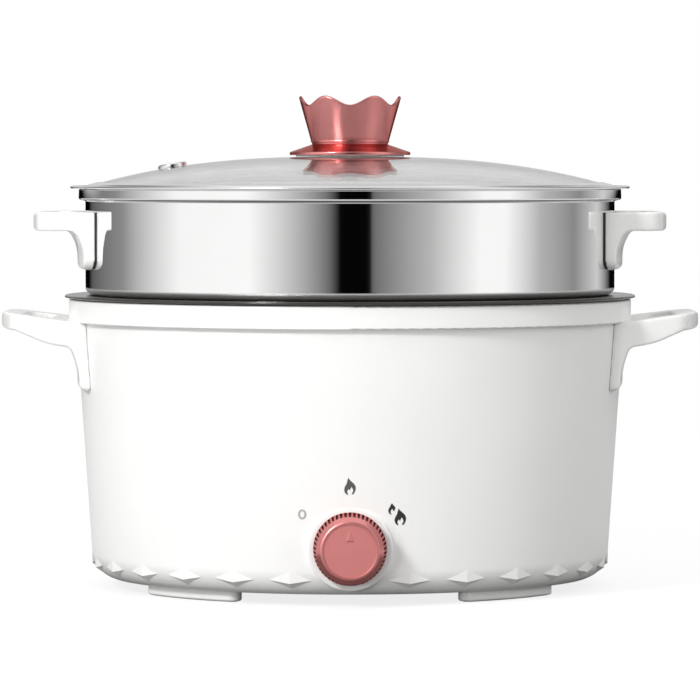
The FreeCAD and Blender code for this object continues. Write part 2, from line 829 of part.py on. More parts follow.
# ---------------------------------------------------------------- steamer tier
def steamer_basket():
    """Sheet basket: a rolled rim, a wall, a shoulder on the pan's rim and a nested floor."""
    wall, rim, sheet, nest = steamer_wall_r, steamer_rim_r, steamer_sheet, nest_r
    flare, low, floor = steamer_top - steamer_rim_height, steamer_shoulder, steamer_floor
    edge, turn, bend = sheet / 2, steamer_nest_round, steamer_shoulder_r
    crease, fold, barrel = steamer_rim_crease, steamer_rim_fold, steamer_rim_barrel
    slope = math.radians(steamer_rim_slope)
    across = rim - wall - (crease + fold) * (1 - math.sin(slope))
    widest = flare + (crease + fold) * math.cos(slope) + across * math.tan(slope)
    middle = barrel - edge
    lean = math.degrees(math.asin((steamer_top - edge - widest) / middle))
    lip_r = rim - barrel + middle * math.cos(math.radians(lean))
    section = (
        bend_at(wall - bend, low + bend, bend, -90, 0)
        + bend_at(wall + crease, flare, crease, 180, 90 + steamer_rim_slope)
        + bend_at(rim - fold, widest, fold, steamer_rim_slope - 90, 0)
        + bend_at(rim - barrel, widest, barrel, 0, lean)
        + bend_at(lip_r, steamer_top - edge, edge, lean, lean + 180)
        + bend_at(rim - barrel, widest, barrel - sheet, lean, 0)
        + bend_at(rim - fold, widest, fold - sheet, 0, steamer_rim_slope - 90)
        + bend_at(wall + crease, flare, crease + sheet, 90 + steamer_rim_slope, 180)
        + bend_at(wall - bend, low + bend, bend - sheet, 0, -90)
        + bend_at(nest + sheet, low - sheet, 2 * sheet, 90, 180)
        + bend_at(nest - turn, floor + turn, turn - sheet, 0, -90)
        + [(0, floor + sheet), (0, floor)]
        + bend_at(nest - turn, floor + turn, turn, -90, 0)
        + bend_at(nest + sheet, low - sheet, sheet, 180, 90)
    )
    basket = lathe(section)
    holes = [rod(hole_r, (0, 0, floor - past), (0, 0, floor + sheet + past))]
    for row in range(1, hole_rings + 1):
        for n in range(6 * row):
            at = polar(hole_pitch * row, 60.0 * n / row, floor)
            holes.append(rod(hole_r, at - Z * past, at + Z * (sheet + past)))
    holes += [handle_screw(*p, screw_gap) for p in steamer_handle_screw_places()]
    return basket.cut(holes)


# ---------------------------------------------------------------- lid
def vent_frame(shape):
    """Moves a shape from the pot's axis to the vent, square to the glass."""
    fall = dome_rise * dome_power / glass_r * (vent_ring_r / glass_r) ** (dome_power - 1)
    shape = turned(shape, -math.degrees(math.atan(fall)), ORIGIN, Y)
    shape.translate(Vector(-vent_ring_r, 0, dome_z(vent_ring_r)))
    return shape


def lid_glass():
    """Domed glass of one thickness, with holes for the knob's screw and the vent."""
    radii = [glass_r * n / dome_points for n in range(dome_points + 1)]

    def face_line(drop):
        curve = Part.BSplineCurve()
        points = [Vector(r, 0, dome_z(r) - drop) for r in radii]
        curve.interpolate(points, InitialTangent=X, FinalTangent=points[-1] - points[-2])
        return curve.toShape()

    upper, lower = face_line(0), face_line(glass_thickness)
    ends = [(e.valueAt(e.FirstParameter), e.valueAt(e.LastParameter)) for e in (upper, lower)]
    axis = Part.LineSegment(ends[0][0], ends[1][0]).toShape()
    edge = Part.LineSegment(ends[0][1], ends[1][1]).toShape()
    glass = Part.Face(Part.Wire(Part.__sortEdges__([upper, edge, lower, axis])))
    glass = glass.revolve(ORIGIN, Z, 360)
    screw_hole = rod(glass_hole_r, (0, 0, 0), (0, 0, dome_top + past))
    through = 2 * glass_thickness
    vent_hole = rod(vent_neck_r + screw_gap, (0, 0, -through), (0, 0, through))
    return glass.cut([screw_hole, vent_frame(vent_hole)])


def lid_band():
    """Sheet channel round the glass's edge, with the flange that hangs on the rim."""
    over = dome_z(glass_r) + glass_gap
    inner = glass_r - band_grip
    over_inner = dome_z(inner) + glass_gap
    under = over - 2 * glass_gap - glass_thickness
    under_inner = over_inner - 2 * glass_gap - glass_thickness
    wall = glass_r + glass_gap
    out = wall + band_sheet
    half = lid_flange_thickness / 2
    return lathe(
        [
            (inner, over_inner),
            (inner, over_inner + band_sheet),
            (out - band_round, over + band_sheet),
            (out, lid_flange_top),
            (lid_r - half, lid_flange_top),
            arc((lid_r, lid_flange_top - half), (lid_r - half, lid_seat)),
            (out, lid_seat),
            (out, under - band_sheet),
            (inner, under_inner - band_sheet),
            (inner, under_inner),
            (wall, under),
            (wall, over),
        ]
    )


def vent_eyelet():
    """Flanged steel ring through the glass, rolled over below it."""
    below = -glass_thickness - 2 * glass_gap
    lip_r, edge, bore = vent_neck_r + vent_lip_width, vent_round / 2, vent_bore_round
    eyelet = lathe(
        [
            (vent_bore_r, below - vent_lip),
            (lip_r, below - vent_lip),
            (lip_r, below),
            (vent_neck_r, below),
            (vent_neck_r, glass_gap),
            (vent_r, glass_gap),
        ]
        + bend_at(vent_r - edge, vent_height - edge, edge, 0, 90)
        + bend_at(vent_bore_r + bore, vent_height - bore, bore, 90, 180)
    )
    return vent_frame(eyelet)


# ---------------------------------------------------------------- lid knob
def knob_skirt():
    """Wide cone under the cup, hollow where it needs no strength."""
    edge_z = skirt_bottom + knob_skirt_edge
    plate, turn, step = knob_skirt_plate, knob_skirt_round, knob_neck_step
    roof = crown_bottom - 2 * plate
    return lathe(
        [
            (screw_r + screw_gap, skirt_bottom),
            (knob_neck_r / 2, skirt_bottom),
            (knob_neck_r / 2, roof),
            (knob_neck_r - plate, roof),
            (knob_washer_r - 2 * plate, skirt_bottom),
            (knob_skirt_r - turn, skirt_bottom),
            (knob_skirt_r, skirt_bottom + turn),
            (knob_skirt_r, edge_z - turn),
            (knob_skirt_r - turn, edge_z),
            (knob_neck_r + step, crown_bottom - step),
            (knob_neck_r, crown_bottom),
            (screw_r + screw_gap, crown_bottom),
        ]
    )


def crown_wave_cut():
    """Everything above the crown's wavy edge."""
    count = 4 * crown_points
    middle = crown_top - crown_wave / 2

    def wavy_line(radius):
        points = []
        for n in range(count):
            degrees = 360 * n / count
            wave = math.cos(math.radians(crown_points * degrees))
            points.append(polar(radius, degrees, middle + wave * crown_wave / 2))
        curve = Part.BSplineCurve()
        curve.interpolate(points, PeriodicFlag=True)
        return curve.toShape()

    within, beyond = crown_top_r / 2, crown_top_r + crown_wave
    edge = Part.makeRuledSurface(wavy_line(within), wavy_line(beyond))
    return edge.extrude(Z * 2 * crown_wave)


def knob_crown():
    """A flared cup whose edge runs in waves, on a neck with one raised bead."""
    slope = (crown_top_r - knob_neck_r) / crown_height
    bead, bead_z = crown_bead_r, crown_bottom + crown_bead_height
    floor, turn = crown_bottom + crown_floor, crown_floor_round
    floor_r = knob_neck_r + slope * crown_floor - crown_wall
    brim_r = crown_top_r + slope * past  # the cup is turned a little taller, then trimmed
    cup = lathe(
        [(0, crown_bottom), (knob_neck_r, crown_bottom), (knob_neck_r, bead_z - bead)]
        + [arc((knob_neck_r + bead, bead_z), (knob_neck_r, bead_z + bead))]
        + [(brim_r, crown_top + past), (brim_r - crown_wall, crown_top + past)]
        + [(floor_r + slope * turn, floor + turn)]
        + bend_at(floor_r - turn, floor + turn, turn, 0, -90)
        + [(0, floor)]
    )
    socket = rod(insert_r, (0, 0, crown_bottom), (0, 0, crown_bottom + insert_length))
    return cup.cut([crown_wave_cut(), socket])


def knob_insert():
    return ring(screw_r + screw_gap / 2, insert_r, crown_bottom, crown_bottom + insert_length)


def knob_screw():
    """Slotted screw from under the glass into the cup's insert."""
    head_top = glass_under - lid_washer_thickness - steel_washer_thickness
    head = rod(knob_screw_head_r, (0, 0, head_top - knob_screw_head_height), (0, 0, head_top))
    under = head_top - knob_screw_head_height
    head = rounded(head, knob_screw_round, lambda e: e.Closed and e.CenterOfMass.z < under + past)
    shank = rod(screw_r, (0, 0, head_top), (0, 0, crown_bottom + insert_length - screw_r / 4))
    slot = block(
        (-knob_screw_head_r, -knob_screw_slot / 2, under),
        (knob_screw_head_r, knob_screw_slot / 2, under + knob_screw_slot),
    )
    return head.fuse(shank).cut(slot)


# ---------------------------------------------------------------- dial
def d_bar(radius, start_y, end_y, flat):
    """A shaft along Y with a flat on its upper side."""
    bar = rod(radius, (0, start_y, dial_z), (0, end_y, dial_z))
    spare = block(
        (-radius, min(start_y, end_y), dial_z + radius - flat),
        (radius, max(start_y, end_y), dial_z + 2 * radius),
    )
    return bar.cut(spare)


def dial_lathe(stretches):
    """Turns an outline of (radius, distance in front of the boss) about the dial's axis."""
    face = Part.Face(outline(stretches, lambda r, d: Vector(r, -boss_y - d, dial_z)))
    return face.revolve(Vector(0, 0, dial_z), Y, 360)


def dial_body():
    """Knurled, tapered skirt, bevel and rounded rim, hollow behind, with a hub on the shaft."""
    inside = dial_front - dial_wall - dial_cap_thickness
    turn, rim, slant = dial_round, dial_rim_round, math.sqrt(0.5)
    rim_r = dial_face_r - rim * slant
    rim_front = dial_front + dial_rim_height - rim
    lean = math.degrees(math.asin((rim_r - dial_cap_r) / rim))
    skirt_end = rim_front + rim * slant - (dial_front_r - dial_face_r)
    body = dial_lathe(
        [
            (0, dial_front - dial_cap_thickness),
            (dial_cap_r, dial_front - dial_cap_thickness),
        ]
        + bend_at(rim_r, rim_front, rim, 90 + lean, 45)
        + [
            (dial_front_r, skirt_end),
            (dial_r, dial_gap + turn),
            (dial_r - turn, dial_gap),
            (dial_r - dial_wall, dial_gap),
            (dial_front_r - dial_wall, inside - dial_corner),
            (dial_face_r - dial_wall, inside),
            (dial_hub_r, inside),
            (dial_hub_r, hub_back),
            (0, hub_back),
        ]
    )
    bore = d_bar(shaft_r + shaft_fit, flat_start_y, shaft_tip_y - shaft_cover, shaft_flat)
    start, end = dial_gap + knurl_flange, skirt_end + turn
    grooves = []
    for n in range(knurl_count):
        angle = 2 * math.pi * (n + 0.5) / knurl_count
        across, up = math.cos(angle), math.sin(angle)
        grooves.append(
            rod(
                knurl_r,
                (dial_r * across, -boss_y - start, dial_z + dial_r * up),
                (dial_front_r * across, -boss_y - end, dial_z + dial_front_r * up),
            )
        )
    return body.cut([bore] + grooves)


def pointer_outline(share, distance):
    """The three-cornered pointer, shrunk to a share about its middle."""
    low, high = -pointer_height / 3, 2 * pointer_height / 3
    corners = [(-pointer_half_width, low), (pointer_half_width, low), (0, high)]
    middle = dial_z + pointer_ring_r + pointer_height / 3 - pointer_height / 2
    return outline(
        [(share * x, share * z) for x, z in corners],
        lambda x, z: Vector(x, -boss_y - distance, middle + z),
    )


def dial_cap():
    """Face disc with a raised three-cornered pointer."""
    back, front = dial_front - dial_cap_thickness, dial_front - face_sink
    cap = dial_lathe([(0, back), (dial_cap_r, back), (dial_cap_r, front), (0, front)])
    sides = [pointer_outline(1, front), pointer_outline(pointer_bevel, front + pointer_rise)]
    root = Part.Face(sides[0]).extrude(Vector(0, dial_cap_thickness / 2, 0))
    return cap.fuse([root, Part.makeLoft(sides, True, True)])


def dial_shaft():
    """Shaft from the switch's rotor to the dial, with its flat outside the bushing."""
    inner_y = -boss_y + boss_plate + shaft_length_in_switch
    plain = rod(shaft_r, (0, inner_y, dial_z), (0, flat_start_y, dial_z))
    flatted = d_bar(shaft_r, flat_start_y, shaft_tip_y, shaft_flat)
    return plain.fuse(flatted)


# ---------------------------------------------------------------- switch
def switch_rotor():
    """Cam on the shaft's inner end; it turns with the dial."""
    inner_y = switch_front_y + shaft_length_in_switch
    rotor = rod(rotor_r, (0, inner_y - rotor_length, dial_z), (0, inner_y, dial_z))
    half = lobe_width / 2
    lobe = block(
        (-half, inner_y - rotor_length, dial_z), (half, inner_y, dial_z + rotor_r + lobe_rise)
    )
    bore = rod(shaft_r, (0, inner_y - rotor_length, dial_z), (0, inner_y, dial_z))
    return rotor.fuse(lobe).cut(bore)


def switch_body():
    """Moulded housing with the threaded bushing that passes through the boss."""
    half = switch_width / 2
    case = rounded_block(
        (-half, switch_front_y, dial_z - switch_height / 2),
        (half, switch_back_y, dial_z + switch_height / 2),
        switch_round,
        Y,
    )
    bushing = rod(
        bushing_r, (0, switch_front_y, dial_z), (0, switch_front_y - bushing_length, dial_z)
    )
    chamber_depth = shaft_length_in_switch - rotor_length
    chamber = rod(
        rotor_r + chamber_gap,
        (0, switch_front_y + chamber_depth - seat_gap, dial_z),
        (0, switch_front_y + shaft_length_in_switch + seat_gap, dial_z),
    )
    bore = rod(
        shaft_r + shaft_fit,
        (0, switch_front_y - bushing_length, dial_z),
        (0, switch_front_y + chamber_depth, dial_z),
    )
    return case.fuse(bushing).cut([chamber, bore])


def switch_nut():
    """Hexagon nut that draws the bushing against the boss."""
    corners = []
    for degrees in range(0, 361, 60):
        angle = math.radians(degrees)
        corners.append(Vector(nut_r * math.cos(angle), -boss_y, dial_z + nut_r * math.sin(angle)))
    nut = Part.Face(Part.makePolygon(corners)).extrude(Vector(0, -nut_thickness, 0))
    return nut.cut(rod(bushing_r, (0, -boss_y, dial_z), (0, -boss_y - nut_thickness, dial_z)))


def switch_blades():
    blades = []
    for n in (-1, 0, 1):
        x = n * blade_pitch
        blades.append(
            block(
                (x - blade_thickness / 2, switch_back_y, dial_z - blade_width / 2),
                (x + blade_thickness / 2, switch_back_y + blade_length, dial_z + blade_width / 2),
            )
        )
    return blades


# ---------------------------------------------------------------- heating
def heater_leg(ring_radius, gap_angle, side):
    """Where a ring ends: (end of the arc, top of the leg, direction into the gap)."""
    end = polar(ring_radius, 90 - side * gap_angle, heater_z)
    into_gap = polar(1, 180 - side * gap_angle if side > 0 else gap_angle)
    top = end + into_gap * heater_bend - Z * heater_bend
    return end, top, into_gap


def heater_ring(ring_radius, gap_angle, grow=0.0):
    """An open ring whose two ends turn down through the shield."""
    leg_z = pan_under - heater_leg_end
    right_end, right_top, right_way = heater_leg(ring_radius, gap_angle, 1)
    left_end, left_top, left_way = heater_leg(ring_radius, gap_angle, -1)

    def bend(end, top, way):
        middle = end - Z * heater_bend + (way + Z) * (heater_bend * math.sqrt(0.5))
        return Part.Arc(end, middle, top).toShape()

    front = polar(ring_radius, -90, heater_z)
    edges = [
        Part.LineSegment(Vector(left_top.x, left_top.y, leg_z), left_top).toShape(),
        bend(left_end, left_top, left_way),
        Part.Arc(left_end, front, right_end).toShape(),
        bend(right_end, right_top, right_way),
        Part.LineSegment(right_top, Vector(right_top.x, right_top.y, leg_z)).toShape(),
    ]
    return tube(Part.Wire(edges), heater_r + grow)


def heater_tops():
    """The foot of each leg, outer ring first, left before right."""
    places = []
    for ring_radius, gap_angle in zip(heater_ring_radii, heater_gap_angles):
        for side in (-1, 1):
            top = heater_leg(ring_radius, gap_angle, side)[1]
            places.append(Vector(top.x, top.y, pan_under - heater_leg_end))
    return places


def thermostat_screw_places():
    return (-thermostat_screw_x, thermostat_screw_x)


def heat_spreader():
    """Aluminium plate under the pan, grooved for the two rings."""
    plate = rod(spreader_r, (0, 0, spreader_under), (0, 0, pan_under))
    grooves = []
    for ring_radius in heater_ring_radii:
        torus = Part.makeTorus(ring_radius, heater_r + touch / 2, Vector(0, 0, heater_z), Z)
        grooves.append(torus)
    holes = [screw_at(x, 0, spreader_under) for x in thermostat_screw_places()]
    return plate.cut(grooves + holes)


def screw_at(x, y, height, head=0.0):
    """A small screw up into the spreader; head is its head's height below."""
    shank = rod(small_screw_r, (x, y, height - head / 2), (x, y, height + small_screw_length))
    if not head:
        return shank
    return shank.fuse(rod(small_screw_head_r, (x, y, height - head), (x, y, height)))


def heater_beads():
    beads = []
    for foot in heater_tops():
        bead = rod(bead_r, foot, foot - Z * bead_length)
        beads.append(bead.cut(rod(pin_r, foot, foot - Z * bead_length)))
    return beads


def heater_pins():
    return [rod(pin_r, foot, foot - Z * pin_length) for foot in heater_tops()]


def neutral_bridge():
    """Flat strip that joins the right-hand pins of both rings."""
    outer, inner = heater_tops()[1], heater_tops()[3]
    high = outer.z - bead_length - bridge_drop
    low, half = high - bridge_thickness, bridge_width / 2
    bar = block(
        (min(outer.x, inner.x) - half, inner.y - half, low),
        (max(outer.x, inner.x) + half, outer.y + half, high),
    )
    holes = [
        rod(pin_r + touch / 2, (p.x, p.y, low - past), (p.x, p.y, high + past))
        for p in (outer, inner)
    ]
    return bar.cut(holes)


def heat_shield():
    plate = ring(shield_hole_r, shield_r, shield_top - shield_thickness, shield_top)
    leg_r = heater_r + shield_leg_gap
    holes = [rod(leg_r, foot, foot + Z * heater_leg_end) for foot in heater_tops()]
    for degrees in post_angles:
        at = polar(post_ring_r, degrees, shield_top)
        holes.append(rod(post_neck_r + touch, at - Z * past, at + Z * past))
    return plate.cut(holes)


def thermostat():
    """Disc thermostat: a round body under an ear plate that lies on the spreader."""
    low_ear = spreader_under - thermostat_ear_thickness
    half = thermostat_ear_width / 2
    ears = rounded_block(
        (-thermostat_ear, -half, low_ear),
        (thermostat_ear, half, spreader_under),
        thermostat_ear_round,
        Z,
    )
    body = rod(thermostat_r, (0, 0, spreader_under - thermostat_height), (0, 0, spreader_under))
    holes = [screw_at(x, 0, low_ear - past) for x in thermostat_screw_places()]
    return body.fuse(ears).cut(holes)


def thermostat_blade_places():
    return (-thermostat_r / 2, thermostat_r / 2)


def thermostat_blades():
    low = spreader_under - thermostat_height
    half_y, half_x = blade_width / 2, blade_thickness / 2
    return [
        block((x - half_x, -half_y, low - blade_length), (x + half_x, half_y, low))
        for x in thermostat_blade_places()
    ]


def thermal_fuse():
    z = spreader_under - fuse_r - fuse_gap
    body = rod(fuse_r, (fuse_x, fuse_y - fuse_length / 2, z), (fuse_x, fuse_y + fuse_length / 2, z))
    lead = rod(fuse_lead_r, (fuse_x, fuse_y - fuse_length, z), (fuse_x, fuse_y + fuse_length, z))
    return body.fuse(lead)


def fuse_clip():
    """Sprung strap that holds the thermal fuse against the spreader."""
    z = spreader_under - fuse_r - fuse_gap
    half, strap, reach = fuse_strap_width / 2, fuse_strap, fuse_strap_reach
    low_y, high_y = fuse_y - half, fuse_y + half
    outer = rod(fuse_r + touch + strap, (fuse_x, low_y, z), (fuse_x, high_y, z))
    inner = rod(fuse_r + touch, (fuse_x, low_y, z), (fuse_x, high_y, z))
    flat = block(
        (fuse_x, low_y, spreader_under - strap), (fuse_x + reach, high_y, spreader_under)
    )
    above = block(
        (fuse_x - reach, low_y, spreader_under),
        (fuse_x + reach, high_y, spreader_under + reach),
    )
    return outer.fuse(flat).cut([inner, above])


# ---------------------------------------------------------------- base
def pan_post(degrees):
    """Shouldered post on the pan's underside, drilled for a base screw."""
    at = polar(post_ring_r, degrees)
    upper = rod(post_r, at + Z * shield_top, at + Z * pan_under)
    lower = rod(post_neck_r, at + Z * post_bottom, at + Z * shield_top)
    hole_r, depth = base_screw_r + screw_gap, post_bottom + base_screw_length
    drill = rod(hole_r, at + Z * (post_bottom - past), at + Z * depth)
    return upper.fuse(lower).cut(drill)


def shield_clip(degrees):
    """Push-on disc that holds the heat shield against the post's shoulder."""
    at = polar(post_ring_r, degrees)
    high = shield_top - shield_thickness
    disc = rod(clip_r, at + Z * (high - clip_thickness), at + Z * high)
    return disc.cut(rod(post_neck_r, at + Z * (high - clip_thickness), at + Z * high))


def base_screw(degrees):
    at = polar(post_ring_r, degrees)
    seat = cover_bottom + counterbore_depth
    under = seat - base_screw_head_height
    head = rod(base_screw_head_r, at + Z * under, at + Z * seat)
    socket = rod(base_screw_socket_r, at + Z * under, at + Z * (under + base_screw_socket_depth))
    shank = rod(base_screw_r, at + Z * seat, at + Z * (seat + base_screw_length))
    return head.fuse(shank).cut(socket)


def base_cover():
    """Plate that closes the shell, with vents and a counterbored boss at each post."""
    plate_r = shell_foot_r - shell_wall - cover_gap
    plate = rod(plate_r, (0, 0, cover_bottom), (0, 0, cover_top))
    bosses, cuts = [], []
    for degrees in post_angles:
        at = polar(post_ring_r, degrees)
        bosses.append(rod(cover_boss_r, at + Z * cover_bottom, at + Z * post_bottom))
        cuts.append(rod(counterbore_r, at, at + Z * (cover_bottom + counterbore_depth)))
        cuts.append(rod(base_screw_r + screw_gap, at, at + Z * (post_bottom + past)))
    half = slot_width / 2
    slot = rounded_block(
        (slot_inner_r, -half, 0),
        (slot_inner_r + slot_length, half, cover_top + past),
        slot_end_round,
        Z,
    )
    cuts += [turned(slot, 360 * n / cover_slots) for n in range(cover_slots)]
    return plate.fuse(bosses).cut(cuts)


def arc_block(inner_r, outer_r, span, low, high, corner):
    """A block bent round the pot's axis, centred on +X, with rounded corners."""
    section = [(inner_r, low), (outer_r, low), (outer_r, high), (inner_r, high)]
    solid = turned(lathe(section, span), -span / 2)
    return rounded(solid, corner, lambda e: along(e, Z))


def foot(degrees):
    bottom = foot_pad_proud
    body = arc_block(foot_inner_r, foot_outer_r, foot_span, bottom, cover_bottom, foot_round)
    body = rounded(body, foot_edge_round, lambda e: abs(e.BoundBox.ZMax - bottom) < 1e-4)
    return turned(body.cut(foot_pad_shape()), degrees)


def foot_pad_shape():
    inset_angle = 2 * math.degrees(foot_pad_inset / foot_outer_r)
    return arc_block(
        foot_inner_r + foot_pad_inset, foot_outer_r - foot_pad_inset, foot_span - inset_angle,
        0, foot_pad_thickness, foot_round - foot_pad_inset,
    )


# ---------------------------------------------------------------- inlet
def inlet_body(gap=0.0):
    """The inlet's outer block behind its flange; with a gap it is the shell's opening."""
    half_width = inlet_mouth_width / 2 + inlet_wall + gap
    half_height = inlet_mouth_height / 2 + inlet_wall + gap
    back = inlet_front_y - inlet_depth - inlet_back
    if gap:
        back -= past
    return rounded_block(
        (-half_width, back, inlet_z - half_height),
        (half_width, inlet_pad_y, inlet_z + half_height),
        inlet_body_round,
        Y,
    )


def inlet_pins():
    """Live and neutral below, earth above; each runs through to a solder tab."""
    tip = inlet_front_y - inlet_pin_recess
    end = inlet_front_y - inlet_depth - inlet_back - inlet_tab_length
    half_x, half_z = inlet_pin_thickness / 2, inlet_pin_height / 2
    pins = []
    for x, z in inlet_pin_places():
        pins.append(block((x - half_x, end, z - half_z), (x + half_x, tip, z + half_z)))
    return pins


def inlet_pin_places():
    low, high = inlet_z - inlet_pin_offset, inlet_z + inlet_pin_offset
    half = inlet_pin_pitch / 2
    return [(-half, low), (half, low), (0, high)]


def inlet_screw(side, gap=0.0):
    """Screw through the flange into the shell's pad."""
    x = side * inlet_screw_x
    top = inlet_front_y - inlet_screw_sink
    start = top - inlet_screw_head_height
    end = start - inlet_screw_length - gap
    shank = rod(inlet_screw_r + gap, (x, start, inlet_z), (x, end, inlet_z))
    if gap:
        return shank
    return shank.fuse(rod(inlet_screw_head_r, (x, start, inlet_z), (x, top, inlet_z)))


def inlet_housing():
    """Flanged socket, let into the shell's pad and screwed to it."""
    half_width = inlet_pad_width / 2 - inlet_flange_margin
    half_height = inlet_pad_height / 2 - inlet_flange_margin / 2
    flange = rounded_block(
        (-half_width, inlet_pad_y, inlet_z - half_height),
        (half_width, inlet_front_y, inlet_z + half_height),
        inlet_pad_round,
        Y,
    )
    mouth = rounded_block(
        (-inlet_mouth_width / 2, inlet_front_y - inlet_depth, inlet_z - inlet_mouth_height / 2),
        (inlet_mouth_width / 2, inlet_front_y + past, inlet_z + inlet_mouth_height / 2),
        inlet_mouth_round,
        Y,
    )
    cuts = [mouth] + inlet_pins()
    sink_r = inlet_screw_head_r + screw_gap
    sink_y = inlet_front_y - inlet_screw_sink - inlet_screw_head_height
    for side in (-1, 1):
        x = side * inlet_screw_x
        cuts.append(inlet_screw(side, screw_gap))
        cuts.append(rod(sink_r, (x, sink_y, inlet_z), (x, inlet_front_y + past, inlet_z)))
    return flange.fuse(inlet_body()).cut(cuts)


# ---------------------------------------------------------------- wiring
def leave(terminal, way, length=wire_straight):
    """The first run of a wire: from a terminal's end, straight out along its way."""
    start = Vector(*terminal)
    return [start, start + way * length]


def reach_in(terminal, way, length=wire_straight):
    """The last run of a wire, into a terminal from the side that way points to."""
    return leave(terminal, way, length)[::-1]


def by_way_of(*places):
    """Points of a wire's middle; x and y are shares of the posts' ring radius, and the
    height runs from the lower wires' level, 0, to the upper wires' level, 1."""
    low, high = cover_top + wire_low, cover_top + wire_high
    return [
        Vector(x * post_ring_r, y * post_ring_r, low + height * (high - low))
        for x, y, height in places
    ]


def wiring():
    """Each wire's route, from one terminal to the next, through the space over the base."""
    tab_y = inlet_front_y - inlet_depth - inlet_back - inlet_tab_length
    live_tab, neutral_tab, earth_tab = [(x, tab_y, z) for x, z in inlet_pin_places()]
    outer_left, outer_right, inner_left, _ = [p - Z * pin_length for p in heater_tops()]
    blade_z = spreader_under - thermostat_height - blade_length
    left_blade, right_blade = [(x, 0, blade_z) for x in thermostat_blade_places()]
    fuse_z = spreader_under - fuse_r - fuse_gap
    rear_lead, front_lead = [
        (fuse_x, fuse_y + side * fuse_length, fuse_z) for side in (1, -1)
    ]
    off, low_heat, high_heat = [
        (n * blade_pitch, switch_back_y + blade_length, dial_z) for n in (-1, 0, 1)
    ]
    to_fuse = by_way_of(
        (-0.16, 0.955, 1.85), (-0.25, 0.73, 1.5), (-0.25, 0.48, 1.65), (-0.25, 0.375, 3.0)
    )
    to_thermostat = by_way_of((-0.19, -0.17, 2.85), (-0.09, -0.09, 1.0))
    to_bridge = by_way_of((0.10, 0.99, 1.35), (0.135, 0.85, 0.35))
    to_tag = by_way_of((0.08, 1.0, 2.35), (0.26, 0.885, 1.5), (0.41, 0.74, 1.0))
    to_high = by_way_of(
        (0.115, -0.10, 0.5), (0.18, -0.385, 1.0), (0.15, -0.705, 1.0), (0.10, -0.91, 1.65)
    )
    to_low = by_way_of(
        (-0.205, 0.35, 0.15), (-0.27, 0.07, 0.35), (-0.17, -0.455, 0.35), (-0.045, -0.795, 1.15)
    )
    to_off = by_way_of(
        (-0.27, 0.635, 0.15), (-0.545, 0.365, 0.0), (-0.59, -0.205, 0.0), (-0.385, -0.66, 0.15),
        (-0.16, -0.91, 1.5),
    )
    return {
        "live_wires": [
            leave(live_tab, -Y) + to_fuse + reach_in(rear_lead, Y, fuse_lead_straight),
            leave(front_lead, -Y, fuse_lead_straight) + to_thermostat + reach_in(left_blade, -Z),
        ],
        "neutral_wire": [leave(neutral_tab, -Y) + to_bridge + reach_in(outer_right, -Z)],
        "earth_wire": [leave(earth_tab, -Y) + to_tag + reach_in(tag_tip(), -X)],
        "switch_wires": [
            leave(right_blade, -Z) + to_high + reach_in(high_heat, Y),
            leave(inner_left, -Z) + to_low + reach_in(low_heat, Y),
            leave(outer_left, -Z) + to_off + reach_in(off, Y),
        ],
    }


def tag_tip():
    """End of the earth tag's tongue, where the wire is crimped on."""
    post = polar(post_ring_r, post_angles[0])
    return (post.x - post_neck_r - tag_tongue, post.y, cover_top + tag_rise)


def earth_tag():
    """Ring tag on the rear post that takes the earth wire."""
    post = polar(post_ring_r, post_angles[0])
    tip_x, tip_y, level = tag_tip()
    low, high = level - tag_thickness / 2, level + tag_thickness / 2
    half = tag_tongue_width / 2
    collar = rod(post_neck_r + tag_collar, post + Z * low, post + Z * high)
    tongue = block((tip_x, tip_y - half, low), (post.x, tip_y + half, high))
    hole = rod(post_neck_r, post + Z * low, post + Z * high)
    return collar.fuse(tongue).cut(hole)


# ---------------------------------------------------------------- build
def build_pot():
    export("pot_shell", shell())
    export("pan", pan())
    export("pan_seal", pan_seal())
    right = pot_handle()
    export("pot_handle_right", right)
    export("pot_handle_left", turned(right, 180))
    export("pot_handle_screws", *[handle_screw(*p) for p in pot_handle_screw_places()])


def build_base():
    export("base_cover", base_cover())
    corners = ("rear_right", "rear_left", "front_left", "front_right")
    for corner, degrees in zip(corners, foot_angles):
        export(f"foot_{corner}", foot(degrees))
    export("foot_pads", *[turned(foot_pad_shape(), a) for a in foot_angles])
    export("pan_posts", *[pan_post(a) for a in post_angles])
    export("shield_clips", *[shield_clip(a) for a in post_angles])
    export("base_screws", *[base_screw(a) for a in post_angles])


def build_heating():
    export("heat_spreader", heat_spreader())
    for name, radius, gap in zip(("outer", "inner"), heater_ring_radii, heater_gap_angles):
        export(f"heater_{name}_ring", heater_ring(radius, gap))
    export("heater_beads", *heater_beads())
    export("heater_pins", *heater_pins())
    export("neutral_bridge", neutral_bridge())
    export("heat_shield", heat_shield())
    export("thermostat", thermostat())
    export("thermostat_blades", *thermostat_blades())
    low_ear = spreader_under - thermostat_ear_thickness
    screws = [screw_at(x, 0, low_ear, small_screw_head_height) for x in thermostat_screw_places()]
    export("thermostat_screws", *screws)
    export("thermal_fuse", thermal_fuse())
    export("fuse_clip", fuse_clip())


def build_inlet_and_wiring():
    export("inlet_housing", inlet_housing())
    export("inlet_pins", *inlet_pins())
    export("inlet_screws", inlet_screw(-1), inlet_screw(1))
    for node, routes in wiring().items():
        export(node, *[tube(bent_wire(route), wire_r) for route in routes])
    export("earth_tag", earth_tag())


def build_dial():
    export("dial_body", dial_body())
    export("dial_cap", dial_cap())
    export("dial_shaft", dial_shaft())
    export("switch_rotor", switch_rotor())
    export("switch_body", switch_body())
    export("switch_nut", switch_nut())
    export("switch_blades", *switch_blades())


